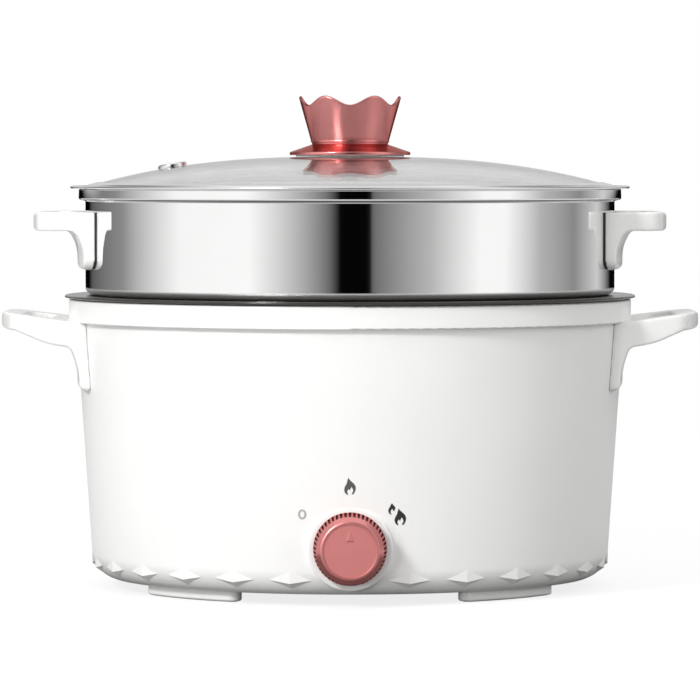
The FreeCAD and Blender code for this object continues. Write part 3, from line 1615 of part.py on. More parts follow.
def build_steamer():
    export("steamer_basket", steamer_basket())
    right = steamer_handle()
    export("steamer_handle_right", right)
    export("steamer_handle_left", turned(right, 180))
    gasket = steamer_handle_gasket()
    export("steamer_handle_gaskets", gasket, turned(gasket, 180))
    export("steamer_handle_screws", *[handle_screw(*p) for p in steamer_handle_screw_places()])


def build_lid():
    export("lid_glass", lid_glass())
    export("lid_band", lid_band())
    export("vent_eyelet", vent_eyelet())
    export("knob_washer", ring(screw_r + screw_gap, knob_washer_r, dome_top, skirt_bottom))
    export("knob_skirt", knob_skirt())
    export("knob_crown", knob_crown())
    export("knob_insert", knob_insert())
    export("knob_screw", knob_screw())
    soft_low = glass_under - lid_washer_thickness
    export("lid_seal_washer", ring(screw_r + screw_gap, lid_washer_r, soft_low, glass_under))
    export(
        "lid_steel_washer",
        ring(screw_r + screw_gap, steel_washer_r, soft_low - steel_washer_thickness, soft_low),
    )


os.makedirs("parts", exist_ok=True)
build_pot()
build_base()
build_heating()
build_inlet_and_wiring()
build_dial()
build_steamer()
build_lid()
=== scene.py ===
import math

import bmesh
import bpy
from bpy.props import FloatProperty, FloatVectorProperty, IntProperty, PointerProperty
from bpy.types import Operator, Panel, PropertyGroup
from mathutils import Matrix, Vector


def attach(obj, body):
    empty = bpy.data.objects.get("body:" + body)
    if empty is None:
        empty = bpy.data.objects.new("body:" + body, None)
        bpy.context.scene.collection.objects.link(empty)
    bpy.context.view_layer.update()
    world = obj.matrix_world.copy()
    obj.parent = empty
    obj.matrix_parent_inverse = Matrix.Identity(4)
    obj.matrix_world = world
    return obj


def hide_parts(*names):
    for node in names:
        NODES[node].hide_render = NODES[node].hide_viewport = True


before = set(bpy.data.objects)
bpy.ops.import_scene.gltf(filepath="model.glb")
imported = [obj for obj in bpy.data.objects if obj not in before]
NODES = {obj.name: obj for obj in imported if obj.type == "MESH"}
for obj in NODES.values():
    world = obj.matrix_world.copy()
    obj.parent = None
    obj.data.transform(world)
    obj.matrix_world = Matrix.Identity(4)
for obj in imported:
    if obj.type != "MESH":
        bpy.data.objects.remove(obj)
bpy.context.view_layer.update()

bl_info = {
    "name": "Electric hot pot with steamer tier",
    "version": (1, 0, 0),
    "blender": (4, 5, 0),
    "location": "View3D > Sidebar > Hot pot",
    "description": "Dresses the hot pot's pieces and sets up a plain studio round them",
    "category": "Object",
}

MM = 0.001
UP = Vector((0, 0, 1))


# ---------------------------------------------------------------- properties
def colour(name, description, default):
    return FloatVectorProperty(
        name=name, description=description, subtype="COLOR", size=3, min=0, max=1, default=default
    )


def length(name, description, default):
    return FloatProperty(
        name=name, description=description, subtype="DISTANCE", unit="LENGTH", default=default
    )


def share(name, description, default):
    return FloatProperty(
        name=name, description=description, subtype="FACTOR", min=0, max=1, default=default
    )


def power(name, description, default):
    return FloatProperty(name=name, description=description, unit="POWER", default=default)


class HotPotFinishes(PropertyGroup):
    """Colours and gloss of the hot pot's visible finishes."""

    plastic: colour("Plastic", "White of the casing and the handles", (0.92, 0.92, 0.905))
    plastic_roughness: share("Plastic roughness", "How matt the white plastic is", 0.34)
    rose_gold: colour("Rose gold", "Metal of the lid's knob", (0.82, 0.31, 0.30))
    rose_gold_roughness: share("Rose gold roughness", "How satin the knob is", 0.22)
    dial_rose: colour("Dial", "Satin metal of the dial", (0.80, 0.30, 0.29))
    dial_face: colour("Dial face", "Satin disc in the middle of the dial", (0.64, 0.225, 0.215))
    steel: colour("Steel", "Polished steel of the steamer", (0.955, 0.955, 0.95))
    steel_roughness: share("Steel roughness", "How soft the steel's reflections are", 0.03)
    coating: colour("Coating", "Non-stick coating of the pan", (0.035, 0.030, 0.027))
    print_dark: colour("Dark print", "Ink of the flame for the low setting", (0.09, 0.09, 0.09))
    print_black: colour("Black print", "Ink of the flames for the high setting", (0.02, 0.02, 0.02))
    print_grey: colour("Grey print", "Ink of the zero", (0.42, 0.42, 0.42))


class HotPotSteamer(PropertyGroup):
    """Sizes of the steamer tier's sheet."""

    wall_radius: length("Wall radius", "Outside of the upright wall", 0.132)
    sheet: length("Sheet", "Thickness of the steel", 0.0008)
    floor_height: length("Floor height", "Underside of the perforated floor", 0.1294)
    nest_radius: length("Nest radius", "Outside of the part that hangs in the pan", 0.1248)
    shoulder_height: length("Shoulder height", "Underside of the shoulder", 0.1457)
    top_height: length("Top height", "Top of the rim", 0.198)
    rim_height: length("Rim height", "From the crease under the rim to its top", 0.0059)
    rim_slope: FloatProperty(
        name="Rim slope",
        description="How steep the rim's underside is",
        subtype="ANGLE",
        default=math.radians(14),
    )
    rim_radius: length("Rim radius", "Widest line of the rim", 0.1354)
    hole_radius: length("Hole radius", "One steam hole", 0.0025)
    hole_pitch: length("Hole pitch", "Distance from one ring of holes to the next", 0.0155)
    hole_rings: IntProperty(name="Hole rings", description="Rings of steam holes", default=6)
    # The crease height places a painted shade line, a thin dark band on the basket's steel.
    crease: length("Crease", "Middle of the dull line under the rim", 0.1927)
    satin_below: length("Satin below", "Top of the satin lower bend", 0.1488)


class HotPotLid(PropertyGroup):
    """Sizes of the lid's glass, its flange and the knob."""

    glass_radius: length("Glass radius", "Outer edge of the glass", 0.1304)
    glass_thickness: length("Glass thickness", "Thickness of the dome", 0.004)
    glass_bore: length("Glass bore", "Radius of the screw's hole", 0.0028)
    dome_top: length("Dome top", "Highest point of the glass", 0.2142)
    dome_rise: length("Dome rise", "Height of the dome over its edge", 0.0147)
    dome_power: FloatProperty(
        name="Dome power", description="How flat the middle of the dome is", default=2.6
    )
    vent_place: length("Vent place", "Distance from the knob to the steam vent", 0.0885)
    vent_hole: length("Vent hole", "Radius of the vent's hole in the glass", 0.0041)
    knob_base: length("Knob base", "Underside of the skirt", 0.2149)
    crown_base: length("Crown base", "Where the cup stands on the skirt", 0.2204)
    crown_top: length("Crown top", "Highest points of the cup's edge", 0.2443)
    neck_radius: length("Neck radius", "Foot of the cup", 0.019)
    brim_radius: length("Brim radius", "Widest line of the cup", 0.0257)
    skirt_radius: length("Skirt radius", "Widest line of the skirt", 0.0301)
    cup_wall: length("Cup wall", "Thickness of the cup", 0.0017)
    waves: IntProperty(name="Waves", description="Waves round the cup's edge", default=6)
    wave_height: length("Wave height", "From a valley to a peak of the edge", 0.0045)


class HotPotHandles(PropertyGroup):
    """How the handles' edges are softened."""

    grain: length("Grain", "Size of the faces that the handles are remade with", 0.0006)
    soft: IntProperty(name="Softness", description="How often the edges are smoothed", default=10)


class HotPotDial(PropertyGroup):
    """Sizes of the dial, which its finish and the marks round it follow."""

    height: length("Height", "Height of the dial's axis", 0.028)
    boss: length("Boss", "Distance of the boss from the pot's axis", 0.131)
    bevel: length("Bevel", "Distance of the bevel's outer edge from the pot's axis", 0.1437)
    rim: length("Rim", "Outside of the rounded rim round the dial's face", 0.0141)
    skirt_back: length("Skirt back", "Radius of the dial's skirt at the boss", 0.0176)
    skirt_front: length("Skirt front", "Radius of the dial's skirt at the bevel", 0.01641)
    print_thickness: length("Print", "How far the marks stand off the wall", 0.0001)


class HotPotStudio(PropertyGroup):
    """Lamps, floor and camera."""

    key_power: power("Key lamp", "Power of the lamp at the upper left", 28.0)
    fill_power: power("Fill lamp", "Power of the lamp at the right", 7.0)
    low_power: power("Low lamp", "Power of the low lamp in front", 8.0)
    sky: share("Sky", "Level of the light from all round", 0.80)
    lens: FloatProperty(
        name="Lens",
        description="Focal length of the camera",
        subtype="DISTANCE_CAMERA",
        default=257.3,
    )


# ---------------------------------------------------------------- finishes
class Nodes:
    """A node tree while it is put together."""

    def __init__(self, tree):
        self.nodes, self.links = tree.nodes, tree.links

    def node(self, kind, inputs=None, **settings):
        made = self.nodes.new("ShaderNode" + kind)
        for key, value in settings.items():
            setattr(made, key, value)
        for key, value in (inputs or {}).items():
            self.feed(made.inputs[key], value)
        return made

    def feed(self, socket, value):
        if isinstance(value, bpy.types.NodeSocket):
            self.links.new(value, socket)
        else:
            socket.default_value = value

    def math(self, operation, first, second=0.0):
        return self.node("Math", {0: first, 1: second}, operation=operation).outputs[0]

    def spread(self, value, low, high, from_low=0.3, from_high=0.7, kind="LINEAR"):
        """Maps one range of a value onto the range that a socket wants."""
        inputs = {"Value": value, "From Min": from_low, "From Max": from_high}
        inputs |= {"To Min": low, "To Max": high}
        return self.node("MapRange", inputs, interpolation_type=kind).outputs["Result"]

    def blend(self, share_value, first, second):
        inputs = {0: share_value, 6: rgba(first), 7: rgba(second)}
        return self.node("Mix", inputs, data_type="RGBA").outputs[2]


class Finish(Nodes):
    """A procedural material while its nodes are put together."""

    def __init__(self, name):
        self.material = bpy.data.materials.new(name)
        self.material.use_nodes = True
        super().__init__(self.material.node_tree)
        self.shader = self.nodes["Principled BSDF"]
        self.place = self.node("TexCoord").outputs["Object"]

    def set(self, **values):
        for key, value in values.items():
            self.feed(self.shader.inputs[key.replace("_", " ")], value)
        return self

    def stretched(self, x, y, z, centre=(0, 0, 0)):
        away = tuple(-place for place in centre)
        moved = self.node("Mapping", {"Vector": self.place, "Location": away}).outputs["Vector"]
        return self.node("Mapping", {"Vector": moved, "Scale": (x, y, z)}).outputs["Vector"]

    def noise(self, scale, detail=2.0, place=None, distortion=0.0):
        inputs = {"Vector": place or self.place, "Scale": scale}
        inputs |= {"Detail": detail, "Distortion": distortion}
        return self.node("TexNoise", inputs).outputs["Fac"]

    def relief(self, height, depth, strength=1.0):
        inputs = {"Height": height, "Distance": depth, "Strength": strength}
        return self.node("Bump", inputs).outputs["Normal"]


def rgba(value):
    if isinstance(value, bpy.types.NodeSocket):
        return value
    return (*value[:3], 1.0)


def tinted(value, factor):
    return tuple(min(1.0, channel * factor) for channel in value[:3])


def moulded(name, base, roughness, grain=1.0):
    """Moulded plastic: an even colour with slight clouding and a fine satin grain."""
    f = Finish(name)
    clouds = f.spread(f.noise(28.0, 3.0), 0.0, 1.0)
    f.set(
        Base_Color=f.blend(clouds, tinted(base, 0.985), tinted(base, 1.01)),
        Roughness=f.spread(f.noise(190.0, 3.0), roughness - 0.035, roughness + 0.035),
        Normal=f.relief(f.noise(2600.0), 0.00001 * grain, 0.5),
        IOR=1.5,
    )
    return f.material


def turned(name, base, roughness, lines, depth=0.000004):
    """Turned or spun metal: fine lines that run round the pot's axis."""
    f = Finish(name)
    rings = f.noise(1.0, 4.0, f.stretched(6.0, 6.0, lines))
    f.set(
        Base_Color=f.blend(
            f.spread(f.noise(35.0, 3.0), 0.0, 1.0), tinted(base, 0.985), tinted(base, 1.01)
        ),
        Roughness=f.spread(rings, roughness * 0.9, roughness * 1.15),
        Normal=f.relief(rings, depth, 0.3),
        Metallic=1.0,
    )
    return f.material


def drawn_steel(name, base, roughness, steamer):
    """Polished steel, satin on its lower bend, with a painted shade line darkening the crease under
    its rim.
    """
    f = Finish(name)
    rings = f.noise(1.0, 4.0, f.stretched(6.0, 6.0, 2600.0))
    height = f.node("SeparateXYZ", {0: f.place}).outputs["Z"]
    polish = f.spread(rings, roughness * 0.9, roughness * 1.15)
    # Painted shade: the base colour drops to a tenth in a thin band round the crease under the rim.
    off_crease = f.math("ABSOLUTE", f.math("SUBTRACT", height, steamer.crease))
    painted_shade = f.spread(off_crease, 1.0, 0.0, 0.4 * MM, 0.7 * MM)
    clouds = f.spread(f.noise(35.0, 3.0), 0.0, 1.0)
    steel = f.blend(clouds, tinted(base, 0.985), tinted(base, 1.01))
    bend = steamer.satin_below
    f.set(
        Base_Color=f.blend(painted_shade, steel, tinted(base, 0.1)),
        Roughness=f.spread(height, 0.4, polish, bend, bend + 0.8 * MM),
        Normal=f.relief(rings, 0.000001, 0.3),
        Metallic=1.0,
    )
    return f.material


def pressed_metal(name, base, roughness, grain=700.0, depth=0.00002):
    """Pressed or cast metal without a direction in its surface."""
    f = Finish(name)
    pattern = f.noise(grain, 4.0)
    f.set(
        Base_Color=f.blend(
            f.spread(f.noise(60.0, 3.0), 0.0, 1.0), tinted(base, 0.93), tinted(base, 1.03)
        ),
        Roughness=f.spread(pattern, roughness * 0.85, roughness * 1.2),
        Normal=f.relief(pattern, depth, 0.5),
        Metallic=1.0,
    )
    return f.material


def satin_rose(name, base, roughness, metallic=1.0, brushed=0.0, dial=None):
    """Plated rose gold with the softest blasted grain under its lacquer."""
    f = Finish(name)
    clouds = f.spread(f.noise(45.0, 3.0), 0.0, 1.0)
    rose = f.blend(clouds, tinted(base, 0.97), tinted(base, 1.02))
    gloss = f.spread(f.noise(160.0, 3.0), roughness - 0.02, roughness + 0.03)
    # On the dial, the grooves of the knurl get painted shade.
    if dial:
        rose, gloss = knurl_painted_shade(f, dial, rose, gloss)
    f.set(
        Base_Color=rose,
        Roughness=gloss,
        Normal=f.relief(f.noise(1900.0, 3.0), 0.000004, 0.35),
        Metallic=metallic,
        Anisotropic=brushed,
        Specular_Tint=(0.55, 0.26, 0.24, 1.0),
        Coat_Weight=0.15,
        Coat_Roughness=0.12,
    )
    return f.material


def knurl_painted_shade(f, dial, polished, gloss):
    """Painted shade darkens the grooves along the dial's skirt; the skirt and the rim round the
    face are satin.
    """
    flat = {"Vector": f.place, "Location": (0, 0, -dial.height), "Scale": (1, 0, 1)}
    across = f.node("Mapping", flat).outputs["Vector"]
    radius = f.node("VectorMath", {0: across}, operation="LENGTH").outputs["Value"]
    ahead = f.math("MULTIPLY", f.node("SeparateXYZ", {0: f.place}).outputs["Y"], -1.0)
    on_skirt = f.math("LESS_THAN", ahead, dial.bevel)
    skirt = f.spread(ahead, dial.skirt_back, dial.skirt_front, dial.boss, dial.bevel)
    # Painted shade: where the surface is sunk into a groove of the knurl, the colour goes
    # near-black.
    painted_groove_mask = f.spread(f.math("SUBTRACT", skirt, radius), 0.0, 1.0, 0.06 * MM, 0.22 * MM)
    satin = f.math("MAXIMUM", on_skirt, f.math("LESS_THAN", radius, dial.rim))
    groove_painted_shade = f.blend(f.math("MULTIPLY", painted_groove_mask, on_skirt), polished, (0.03, 0.008, 0.006))
    return groove_painted_shade, f.spread(satin, gloss, 0.42, 0.0, 1.0)


def speckled_coating(name, base):
    """Non-stick coating: dark, slightly rough, with fine pale flecks."""
    f = Finish(name)
    cells = f.node("TexVoronoi", {"Vector": f.place, "Scale": 1500.0})
    fleck = f.spread(cells.outputs["Distance"], 1.0, 0.0, 0.0, 0.16)
    some = f.spread(f.noise(420.0), 0.0, 1.0, 0.56, 0.62)
    orange_peel = f.noise(520.0, 3.0)
    f.set(
        Base_Color=f.blend(f.math("MULTIPLY", fleck, some), base, tinted(base, 6.0)),
        Roughness=f.spread(orange_peel, 0.13, 0.20),
        Normal=f.relief(orange_peel, 0.00001, 0.3),
        IOR=1.5,
    )
    return f.material


def soft_rubber(name, base, roughness=0.62):
    """Rubber and wire sleeves: matt, with a faint grain."""
    f = Finish(name)
    pattern = f.noise(900.0, 4.0)
    f.set(
        Base_Color=f.blend(
            f.spread(f.noise(70.0, 3.0), 0.0, 1.0), tinted(base, 0.9), tinted(base, 1.08)
        ),
        Roughness=f.spread(pattern, roughness - 0.06, roughness + 0.08),
        Normal=f.relief(pattern, 0.00003, 0.5),
    )
    return f.material


def fired_ceramic(name, base):
    """Unglazed ceramic with fine pits."""
    f = Finish(name)
    pits = f.noise(1400.0, 5.0)
    f.set(
        Base_Color=f.blend(f.spread(f.noise(240.0, 4.0), 0.0, 1.0), tinted(base, 0.94), base),
        Roughness=f.spread(pits, 0.5, 0.72),
        Normal=f.relief(pits, 0.00004, 0.5),
    )
    return f.material


def clear_glass(name):
    """Tempered glass: clear, with the faintest waves from being bent to shape."""
    f = Finish(name)
    f.set(
        Base_Color=(0.975, 0.985, 0.98, 1.0),
        Roughness=f.spread(f.noise(55.0), 0.003, 0.012),
        Normal=f.relief(f.noise(14.0, 1.0), 0.00006, 0.2),
        IOR=1.5,
        Transmission_Weight=0.97,
    )
    return f.material


def printed_ink(name, base):
    """Pad-printed ink with a slightly uneven cover."""
    f = Finish(name)
    grain = f.noise(2400.0, 3.0)
    f.set(
        Base_Color=f.blend(f.spread(grain, 0.0, 1.0), tinted(base, 0.9), tinted(base, 1.12)),
        Roughness=f.spread(grain, 0.4, 0.52),
        Normal=f.relief(grain, 0.000008, 0.4),
    )
    return f.material


def make_finishes(look, steamer, dial):
    plastic, steel = tuple(look.plastic), tuple(look.steel)
    rough, polish = look.plastic_roughness, look.steel_roughness
    moulded("white_plastic", plastic, rough)
    moulded("handle_plastic", plastic, rough - 0.04)
    moulded("base_plastic", (0.72, 0.72, 0.70), 0.5, 2.0)
    moulded("black_plastic", (0.028, 0.028, 0.03), 0.42, 2.0)
    moulded("white_nylon", (0.72, 0.71, 0.68), 0.45, 1.5)
    moulded("dark_phenolic", (0.045, 0.035, 0.03), 0.48, 2.5)
    moulded("fuse_case", (0.66, 0.62, 0.52), 0.4)
    speckled_coating("pan_coating", tuple(look.coating))
    soft_rubber("dark_silicone", (0.03, 0.03, 0.032), 0.55)
    soft_rubber("grey_rubber", (0.33, 0.33, 0.33))
    soft_rubber("pale_silicone", (0.62, 0.56, 0.54), 0.4)
    turned("polished_steel", steel, polish, 2600.0, 0.000001)
    drawn_steel("basket_steel", steel, polish, steamer)
    turned("band_steel", tinted(steel, 0.92), 0.12, 1500.0, 0.000002)
    pressed_metal("zinc_steel", (0.58, 0.585, 0.59), 0.34)
    turned("bare_aluminium", (0.74, 0.745, 0.75), 0.42, 900.0, 0.00001)
    pressed_metal("heater_sheath", (0.42, 0.41, 0.40), 0.45, 900.0)
    pressed_metal("brass", (0.72, 0.50, 0.22), 0.28)
    fired_ceramic("white_ceramic", (0.84, 0.82, 0.77))
    soft_rubber("brown_wire", (0.16, 0.065, 0.03), 0.45)
    soft_rubber("blue_wire", (0.04, 0.12, 0.42), 0.45)
    soft_rubber("green_wire", (0.10, 0.34, 0.07), 0.45)
    soft_rubber("black_wire", (0.02, 0.02, 0.02), 0.45)
    satin_rose("rose_gold_metal", tuple(look.rose_gold), look.rose_gold_roughness, brushed=0.3)
    satin_rose("rose_gold_satin", tuple(look.dial_rose), 0.2, dial=dial)
    satin_rose("dial_face", tuple(look.dial_face), 0.45, 0.3)
    clear_glass("lid_glass")
    printed_ink("dark_print", look.print_dark)
    printed_ink("black_print", look.print_black)
    printed_ink("grey_print", look.print_grey)


# ---------------------------------------------------------------- shapes
SAME_PLACE = 1e-7
BEND_STEP = math.radians(10)  # turn of one face in a rounded corner
ROUND_STEPS = 288  # faces round the pot's axis


def section(points, closed=False):
    """A line through (radius, height, bend) points; bevels round its corners by the bends."""
    shape = bmesh.new()
    places = [Vector((radius, 0, height)) for radius, height, *_ in points]
    line = [shape.verts.new(place) for place in places]
    for start, end in zip(line, line[1:] + line[:1] * closed):
        shape.edges.new((start, end))
    for index, (_, _, *bend) in enumerate(points):
        if bend:
            back = places[index - 1] - places[index]
            onwards = places[(index + 1) % len(points)] - places[index]
            opening = back.angle(onwards)
            round_off(shape, [line[index]], bend[0] / math.tan(opening / 2), math.pi - opening)
    return shape


def round_off(shape, corners, offset, turn):
    bmesh.ops.bevel(
        shape,
        geom=corners,
        offset=offset,
        offset_type="OFFSET",
        segments=max(2, round(turn / BEND_STEP)),
        profile=0.5,
        affect="VERTICES",
        material=-1,
    )


def spun(shape, steps=ROUND_STEPS):
    """Turns a section once about the pot's axis into a closed skin that faces outwards."""
    bmesh.ops.spin(
        shape,
        geom=shape.verts[:] + shape.edges[:],
        cent=(0, 0, 0),
        axis=UP,
        angle=math.tau,
        steps=steps,
        use_merge=True,
    )
    bmesh.ops.remove_doubles(shape, verts=shape.verts[:], dist=SAME_PLACE)
    bmesh.ops.recalc_face_normals(shape, faces=shape.faces[:])
    return shape


def new_object(name, shape):
    mesh = bpy.data.meshes.new(name)
    shape.to_mesh(mesh)
    shape.free()
    made = bpy.data.objects.new(name, mesh)
    bpy.context.scene.collection.objects.link(made)
    return made


def settle(piece):
    """Makes the piece's modifiers final and leaves it with none."""
    bpy.context.view_layer.update()
    graph = bpy.context.evaluated_depsgraph_get()
    old = piece.data
    piece.data = bpy.data.meshes.new_from_object(piece.evaluated_get(graph))
    piece.modifiers.clear()
    bpy.data.meshes.remove(old)


def rods(name, places, radius, low, high, sides):
    """Upright rods to drill with."""
    shape = bmesh.new()
    for x, y in places:
        bmesh.ops.create_cone(
            shape,
            cap_ends=True,
            segments=sides,
            radius1=radius,
            radius2=radius,
            depth=high - low,
            matrix=Matrix.Translation((x, y, (low + high) / 2)),
        )
    return new_object(name, shape)


def drill(piece, tool):
    cut = piece.modifiers.new("holes", "BOOLEAN")
    cut.operation = "DIFFERENCE"
    cut.solver = "EXACT"
    cut.object = tool
    settle(piece)
    bpy.data.meshes.remove(tool.data)


def finish_piece(piece, body, slot, *nodes, sharp=40.0, even=True):
    """Shades a piece smooth but for its sharp edges and puts it in the place of its nodes."""
    piece.data.materials.clear()
    piece.data.materials.append(bpy.data.materials[slot])
    piece.data.shade_smooth()
    piece.data.set_sharp_from_angle(angle=math.radians(sharp))
    if even:
        weights = piece.modifiers.new("even shading", "WEIGHTED_NORMAL")
        weights.keep_sharp = True
    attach(piece, body)
    if nodes:
        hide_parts(*nodes)


def polar(radius, degrees):
    return radius * math.cos(math.radians(degrees)), radius * math.sin(math.radians(degrees))


# ---------------------------------------------------------------- operators
class HOTPOT_OT_finishes(Operator):
    """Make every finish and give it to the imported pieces"""

    bl_idname = "hotpot.finishes"
    bl_label = "Finishes"

    def execute(self, context):
        slots = {node: piece.data.materials[0] for node, piece in NODES.items()}
        names = {node: old.name.split(".")[0] for node, old in slots.items()}
        for old in set(slots.values()):
            old.name = "packed_" + old.name
        scene = context.scene
        make_finishes(scene.hot_pot_finishes, scene.hot_pot_steamer, scene.hot_pot_dial)
        for node, slot in names.items():
            if slot not in bpy.data.materials:
                raise RuntimeError(f"no finish for {slot}")
            NODES[node].data.materials.clear()
            NODES[node].data.materials.append(bpy.data.materials[slot])
        for node, finish in (("dial_cap", "dial_face"), ("knob_washer", "pale_silicone")):
            NODES[node].data.materials[0] = bpy.data.materials[finish]
        return {"FINISHED"}


class HOTPOT_OT_steamer(Operator):
    """Spin the steamer tier's basket and drill its floor"""

    bl_idname = "hotpot.steamer"
    bl_label = "Steamer basket"

    def execute(self, context):
        size = context.scene.hot_pot_steamer
        wall, rim, top = size.wall_radius, size.rim_radius, size.top_height
        flare = top - size.rim_height
        widest = flare + (rim - wall) * math.tan(size.rim_slope)
        basket = new_object(
            "steamer_basket_sheet",
            spun(
                section(
                    (
                        (0, size.floor_height),
                        (size.nest_radius, size.floor_height, 5.0 * MM),
                        (size.nest_radius, size.shoulder_height, 0.8 * MM),
                        (wall, size.shoulder_height, 3.5 * MM),
                        (wall, flare, 0.35 * MM),
                        (rim, widest, 1.2 * MM),
                        (rim - 0.2 * MM, top),
                    )
                )
            ),
        )
        wall_sheet = basket.modifiers.new("sheet", "SOLIDIFY")
        wall_sheet.thickness = size.sheet
        wall_sheet.offset = -1.0
        wall_sheet.use_even_offset = True
        lip = basket.modifiers.new("lip", "BEVEL")
        lip.limit_method = "ANGLE"
        lip.angle_limit = math.radians(60)
        lip.width = 0.35 * MM
        lip.segments = 4
        holes = [(0.0, 0.0)]
        for row in range(1, size.hole_rings + 1):
            holes += [polar(size.hole_pitch * row, 60.0 * n / row) for n in range(6 * row)]
        low = size.floor_height - size.sheet
        drill(basket, rods("drill", holes, size.hole_radius, low, low + 3 * size.sheet, 16))
        finish_piece(basket, "steamer", "polished_steel", "steamer_basket")
        basket.data.materials[0] = bpy.data.materials["basket_steel"]
        return {"FINISHED"}


class HOTPOT_OT_glass(Operator):
    """Spin the lid's domed glass, with a ground edge and a hole for the vent"""

    bl_idname = "hotpot.glass"
    bl_label = "Lid glass"

    def execute(self, context):
        size = context.scene.hot_pot_lid
        bore, edge, thick = size.glass_bore, size.glass_radius, size.glass_thickness
        shape = section(
            ((bore, 0), (edge, 0, 1.0 * MM), (edge, -thick, 1.0 * MM), (bore, -thick)), closed=True
        )
        faces = [line for line in shape.edges if line.calc_length() > edge / 2]
        bmesh.ops.subdivide_edges(shape, edges=faces, cuts=44)
        for corner in shape.verts:
            fall = size.dome_rise * (corner.co.x / edge) ** size.dome_power
            corner.co.z += size.dome_top - fall
        glass = new_object("lid_dome", spun(shape))
        place, high = size.vent_place, size.dome_top
        drill(glass, rods("drill", [(-place, 0.0)], size.vent_hole, high / 2, high + thick, 48))
        finish_piece(glass, "lid", "lid_glass", "lid_glass", even=False)
        return {"FINISHED"}


class HOTPOT_OT_knob(Operator):
    """Spin the knob's cup and skirt and run waves round the cup's edge"""

    bl_idname = "hotpot.knob"
    bl_label = "Lid knob"

    def execute(self, context):
        size = context.scene.hot_pot_lid
        base, top, neck, brim = size.crown_base, size.crown_top, size.neck_radius, size.brim_radius
        slope = (brim - neck) / (top - base)
        edge = top - size.wave_height / 2
        edge_radius = neck + slope * (edge - base)
        floor = base + 9.0 * MM
        floor_radius = neck + slope * (floor - base) - size.cup_wall
        bead, middle = 0.6 * MM, base + 1.3 * MM
        cup = spun(
            section(
                (
                    (0, base),
                    (neck, base, 0.15 * MM),
                    (neck, middle - bead, 0.1 * MM),
                    (neck + bead, middle - bead / 2, 0.3 * MM),
                    (neck + bead, middle + bead / 2, 0.3 * MM),
                    (neck + slope * (middle + bead - base), middle + bead, 0.1 * MM),
                    (neck + slope * (floor - base), floor),
                    (edge_radius, edge, 0.8 * MM),
                    (edge_radius - size.cup_wall, edge, 0.6 * MM),
                    (floor_radius, floor, 4.5 * MM),
                    (0, floor),
                )
            ),
            240,
        )
        for corner in cup.verts:
            raised = max(0.0, (corner.co.z - floor) / (edge - floor))
            angle = math.atan2(corner.co.y, corner.co.x)
            lift = raised**1.5 * size.wave_height / 2 * math.cos(size.waves * angle)
            radius = max(corner.co.xy.length, SAME_PLACE)
            corner.co.xy *= 1 + slope * lift / radius
            corner.co.z += lift
        finish_piece(new_object("crown_cup", cup), "lid", "rose_gold_metal", "knob_crown")
        low, wide = size.knob_base, size.skirt_radius
        skirt = spun(
            section(
                (
                    (3.2 * MM, low),
                    (neck / 2, low),
                    (neck / 2, base - 3.2 * MM),
                    (neck - 1.6 * MM, base - 3.2 * MM),
                    (wide - 6.3 * MM, low),
                    (wide, low, 0.4 * MM),
                    (wide, low + 1.5 * MM, 0.5 * MM),
                    (neck + 0.3 * MM, base - 0.3 * MM, 0.4 * MM),
                    (neck, base),
                    (3.2 * MM, base),
                ),
                closed=True,
            )
        )
        finish_piece(new_object("knob_cone", skirt), "lid", "rose_gold_metal", "knob_skirt")
        return {"FINISHED"}


class HOTPOT_OT_handles(Operator):
    """Remake the four handles with soft moulded edges"""

    bl_idname = "hotpot.handles"
    bl_label = "Handles"

    def execute(self, context):
        size = context.scene.hot_pot_handles
        for body in ("pot", "steamer"):
            for side in ("right", "left"):
                node = f"{body}_handle_{side}"
                shape = bmesh.new()
                shape.from_mesh(NODES[node].data)
                bmesh.ops.remove_doubles(shape, verts=shape.verts[:], dist=SAME_PLACE)
                grip = new_object(f"{body}_grip_{side}", shape)
                remade = grip.modifiers.new("even faces", "REMESH")
                remade.mode = "VOXEL"
                remade.voxel_size = size.grain
                soft = grip.modifiers.new("soft edges", "SMOOTH")
                soft.iterations = size.soft
                settle(grip)
                finish_piece(grip, body, "handle_plastic", node, sharp=180.0, even=False)
        return {"FINISHED"}


class HOTPOT_OT_marks(Operator):
    """Print the zero and the flames round the dial"""

    bl_idname = "hotpot.marks"
    bl_label = "Dial marks"

    def execute(self, context):
        dial = context.scene.hot_pot_dial
        for name, outlines, across, above, slot in MARKS:
            place = (across * MM, dial.height + above * MM)
            print_mark(name, outlines, place, slot, dial.print_thickness)
        return {"FINISHED"}


# Outlines of the printed marks in millimetres: across, up, and S for a sharp point
FLAME = (
    (-0.76, 4.03, "S"), (-0.19, 3.08), (0.85, 2.13), (1.94, 1.09), (2.61, -0.24), (2.65, -1.56),
    (2.08, -2.98), (1.23, -3.89), (0.85, -3.70), (1.42, -2.61), (1.33, -1.42), (0.66, -0.24, "S"),
    (0.19, -1.18), (-0.19, -1.99, "S"), (-0.66, -1.42), (-1.23, -2.13), (-1.28, -3.08),
    (-0.99, -4.03), (-1.85, -3.70), (-2.56, -2.61), (-2.70, -1.42), (-2.27, 0.0), (-1.61, 1.18),
    (-1.23, 2.61),
)
FLAME_BACK = (
    (-3.98, 6.44, "S"), (-3.27, 5.50), (-2.42, 4.45), (-2.56, 3.51), (-3.27, 2.75), (-3.51, 3.36),
    (-3.89, 3.84, "S"), (-4.55, 2.89), (-4.60, 1.94), (-4.36, 1.14), (-5.02, 1.37), (-5.64, 2.42),
    (-5.64, 3.51), (-4.93, 4.79), (-4.45, 5.73),
)
ZERO_HALF_WIDTH, ZERO_HALF_HEIGHT, ZERO_POINTS = 2.0, 2.4, 8
ZERO_TURNS = tuple(n * math.tau / ZERO_POINTS for n in range(ZERO_POINTS))
ZERO = tuple((ZERO_HALF_WIDTH * math.sin(t), ZERO_HALF_HEIGHT * math.cos(t)) for t in ZERO_TURNS)
ZERO_EYE = tuple((0.5 * x, 0.62 * z) for x, z in ZERO)
